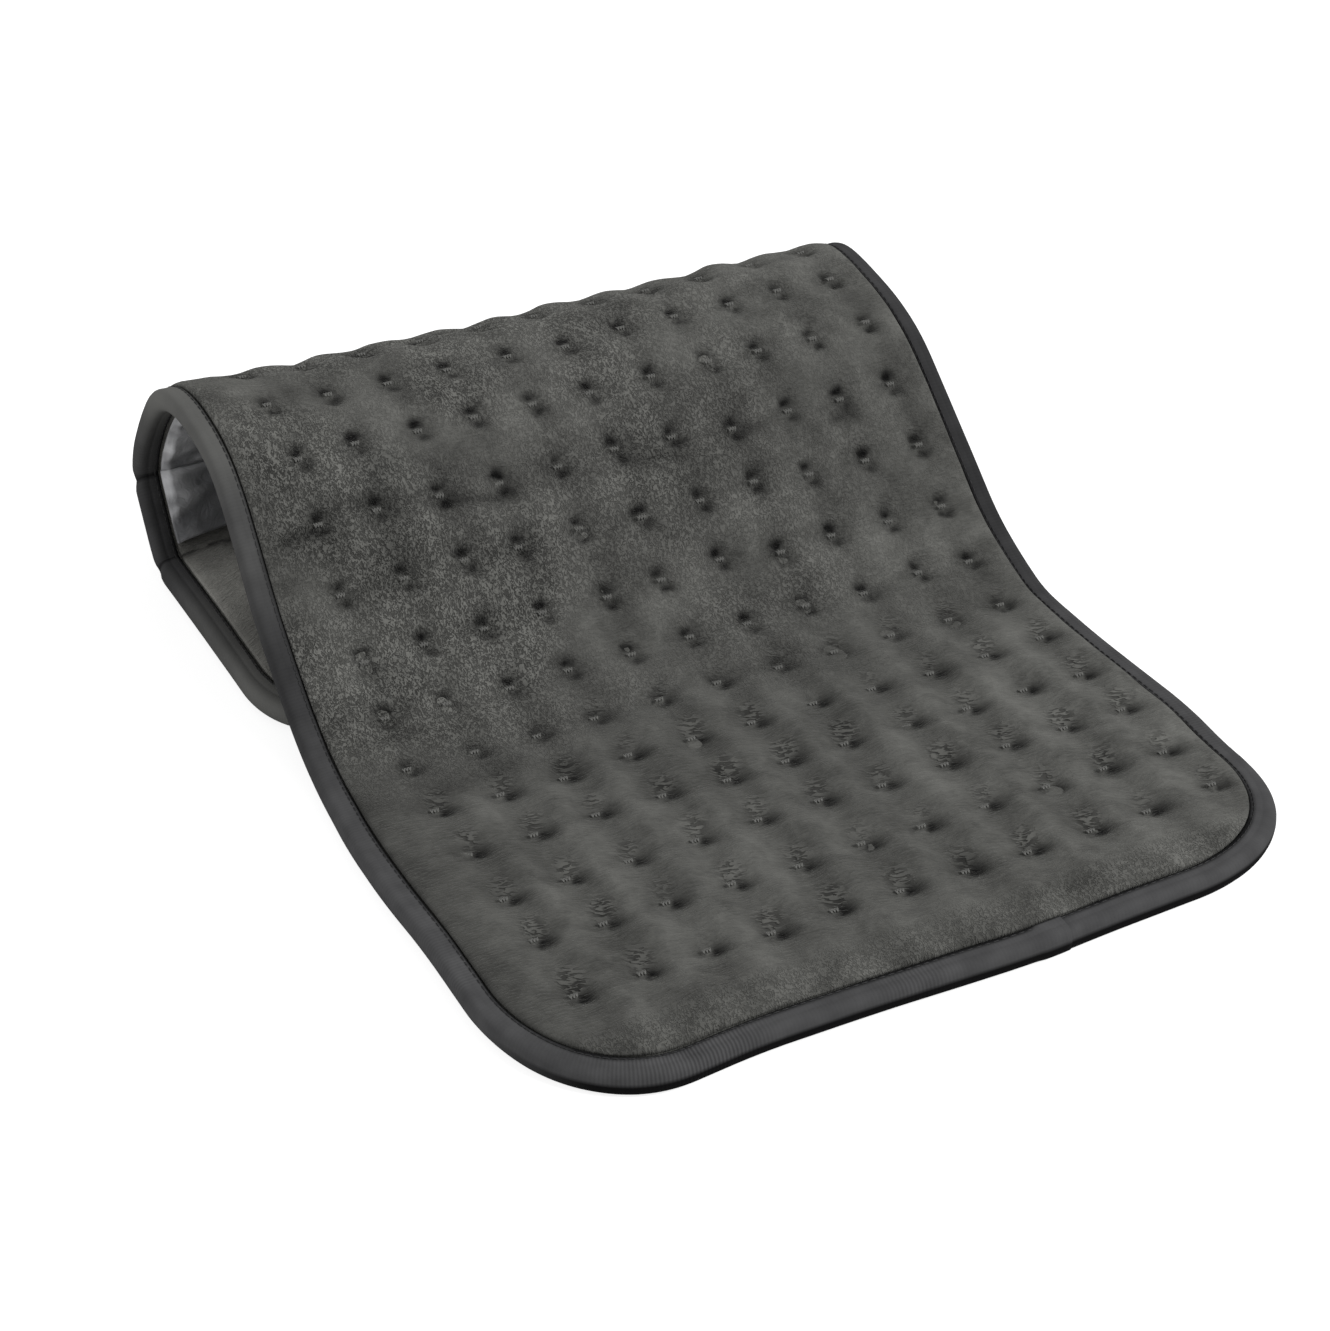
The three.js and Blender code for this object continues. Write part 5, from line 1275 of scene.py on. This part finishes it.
# Each finish by its two tones, the size of its grain, its roughness, how deep the grain is and how metallic
FINISHES = [
    (["inlet_base", "inlet_cover", "clamp_plate"],
     ("spark_eroded_nylon", "#242426", "#2e2e31", 0.6, 0.55, 0.06)),
    (["release_latch"], ("polished_nylon", "#39393c", "#414145", 1.5, 0.4, 0.02)),
    (["contact_block"], ("moulded_polyester_resin", "#e6e1d4", "#d9d3c2", 0.8, 0.5, 0.04)),
    (["circuit_board"], ("fibreglass_laminate", "#2c5735", "#386b42", 0.5, 0.45, 0.03)),
    (["lead_1", "lead_2"], ("extruded_insulation", "#d9d4c4", "#c8c2b0", 1.0, 0.5, 0.03)),
    (["thermal_cutout_1", "thermal_cutout_2", "temperature_sensor"],
     ("varnished_glass_sleeving", "#b9a86a", "#a39355", 0.4, 0.5, 0.08)),
    (["crimp_1", "crimp_2"], ("tinned_copper", "#c8c9cb", "#aeb0b3", 0.5, 0.35, 0.03, 1.0)),
    ([f"contact_pin_{i}" for i in (1, 2, 3)], ("turned_brass", "#c9a24b", "#b58e3c", 0.3, 0.3, 0.01, 1.0)),
    ([f"clamp_screw_{i}" for i in (1, 2, 3, 4)] + [f"cover_screw_{i}" for i in (1, 2)],
     ("zinc_plated_steel", "#a2a4a7", "#8b8d91", 0.4, 0.32, 0.02, 1.0)),
]
for names, finish in FINISHES:
    material = moulded(*finish)
    for name in names:
        nodes[name].data.materials.clear()
        nodes[name].data.materials.append(material)
wire.data.materials.append(moulded("extruded_silicone", "#a5402b", "#b44a33", 1.0, 0.6, 0.03))

# Latch springs
# Two coils of spring steel wire in the inlet, one beside each leg of the latch.
# They push the release button up, and shorten by its travel when it is pressed.
SPRING_WIRE = 0.5
SPRING_TURNS = 4
SPRING_STEPS = 24
SPRING_SIDES = 8


def coil(name, low, high):
    """An open coil of round wire that fills the box between two corners, as a closed tube."""
    wire_radius = SPRING_WIRE / 2 * MM
    share = np.linspace(0, 1, SPRING_TURNS * SPRING_STEPS + 1)[:, None]
    angle = 2 * np.pi * SPRING_TURNS * share
    out = np.concatenate([np.cos(angle), np.sin(angle), 0 * angle], axis=1)
    rise = share * (high[2] - low[2] - SPRING_WIRE * MM) + wire_radius
    middle = [(low[0] + high[0]) / 2, (low[1] + high[1]) / 2, low[2]]
    centre = middle + ((high[0] - low[0]) / 2 - wire_radius) * out + rise * [0, 0, 1]
    around = 2 * np.pi * np.arange(SPRING_SIDES)[None, :, None] / SPRING_SIDES
    points = centre[:, None] + wire_radius * (np.cos(around) * out[:, None] + np.sin(around) * [0, 0, 1])
    return mesh_piece(name, points.reshape(-1, 3), tube_faces(len(centre), SPRING_SIDES))


spring_steel = moulded("drawn_spring_steel", "#9b9da1", "#7f8185", 0.3, 0.28, 0.01, 1.0)
for i in (1, 2):
    low, high = (np.array(corner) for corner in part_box(f"latch_spring_{i}"))
    spring = coil(f"latch_coil_{i}", low, high)
    spring.data.materials.append(spring_steel)
    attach(spring, "pad")
    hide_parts(f"latch_spring_{i}")
    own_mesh(spring)

# Floor and light
# A pale floor, a wide soft lamp high on the right, a weak one on the left, and an even pale room.
# The floor and the room show white to the camera, and the floor keeps the pad's shadow.
FLOOR_HALF = 6
FLOOR_GAP = 0.0001
FLOOR_GLOW = 0.79
ROOM_LEVEL = 0.42
# Each lamp by its place, its size and its watts
LAMPS = {
    "soft_lamp": ((1.4, -1.4, 1.8), 1.2, 54),
    "side_lamp": ((-1.7, 0.1, 0.8), 1.0, 10),
}

# The floor lies a tenth of a millimetre low, so that it never shares a face with the pad's flat underside
corners = [(FLOOR_HALF * x, FLOOR_HALF * y, -FLOOR_GAP) for x, y in ((-1, -1), (1, -1), (1, 1), (-1, 1))]
floor_mesh = bpy.data.meshes.new("floor")
floor_mesh.from_pydata(corners, [], [(0, 1, 2, 3)])
floor = bpy.data.objects.new("floor", floor_mesh)
bpy.context.collection.objects.link(floor)
material, tree, shader = new_material("pale_floor", Roughness=1.0)
shader.inputs["Base Color"].default_value = linear("#b9b9b9")
shader.inputs["Emission Color"].default_value = (1, 1, 1, 1)
seen = add_node(tree, "ShaderNodeLightPath").outputs["Is Camera Ray"]
glow = add_node(tree, "ShaderNodeMath", {0: seen, 1: FLOOR_GLOW}, operation="MULTIPLY")
tree.links.new(glow.outputs[0], shader.inputs["Emission Strength"])
floor.data.materials.append(material)

world = bpy.data.worlds.new("room")
bpy.context.scene.world = world
world.use_nodes = True
tree = world.node_tree
room = tree.nodes["Background"]
room.inputs["Color"].default_value = (1, 1, 1, 1)
seen = add_node(tree, "ShaderNodeLightPath")
shown = add_node(tree, "ShaderNodeMath", {
    0: seen.outputs["Is Camera Ray"], 1: seen.outputs["Is Transmission Ray"],
}, operation="MAXIMUM")
strength = add_node(tree, "ShaderNodeMapRange", {
    "Value": shown.outputs[0], "To Min": ROOM_LEVEL, "To Max": 1.0,
})
tree.links.new(strength.outputs[0], room.inputs["Strength"])

for name, (place, size, watts) in LAMPS.items():
    lamp_data = bpy.data.lights.new(name, "AREA")
    lamp_data.energy = watts
    lamp_data.size = size
    lamp = bpy.data.objects.new(name, lamp_data)
    lamp.location = place
    lamp.rotation_euler = (-Vector(place)).to_track_quat("-Z", "Y").to_euler()
    bpy.context.collection.objects.link(lamp)
bpy.context.scene.view_settings.view_transform = "Standard"
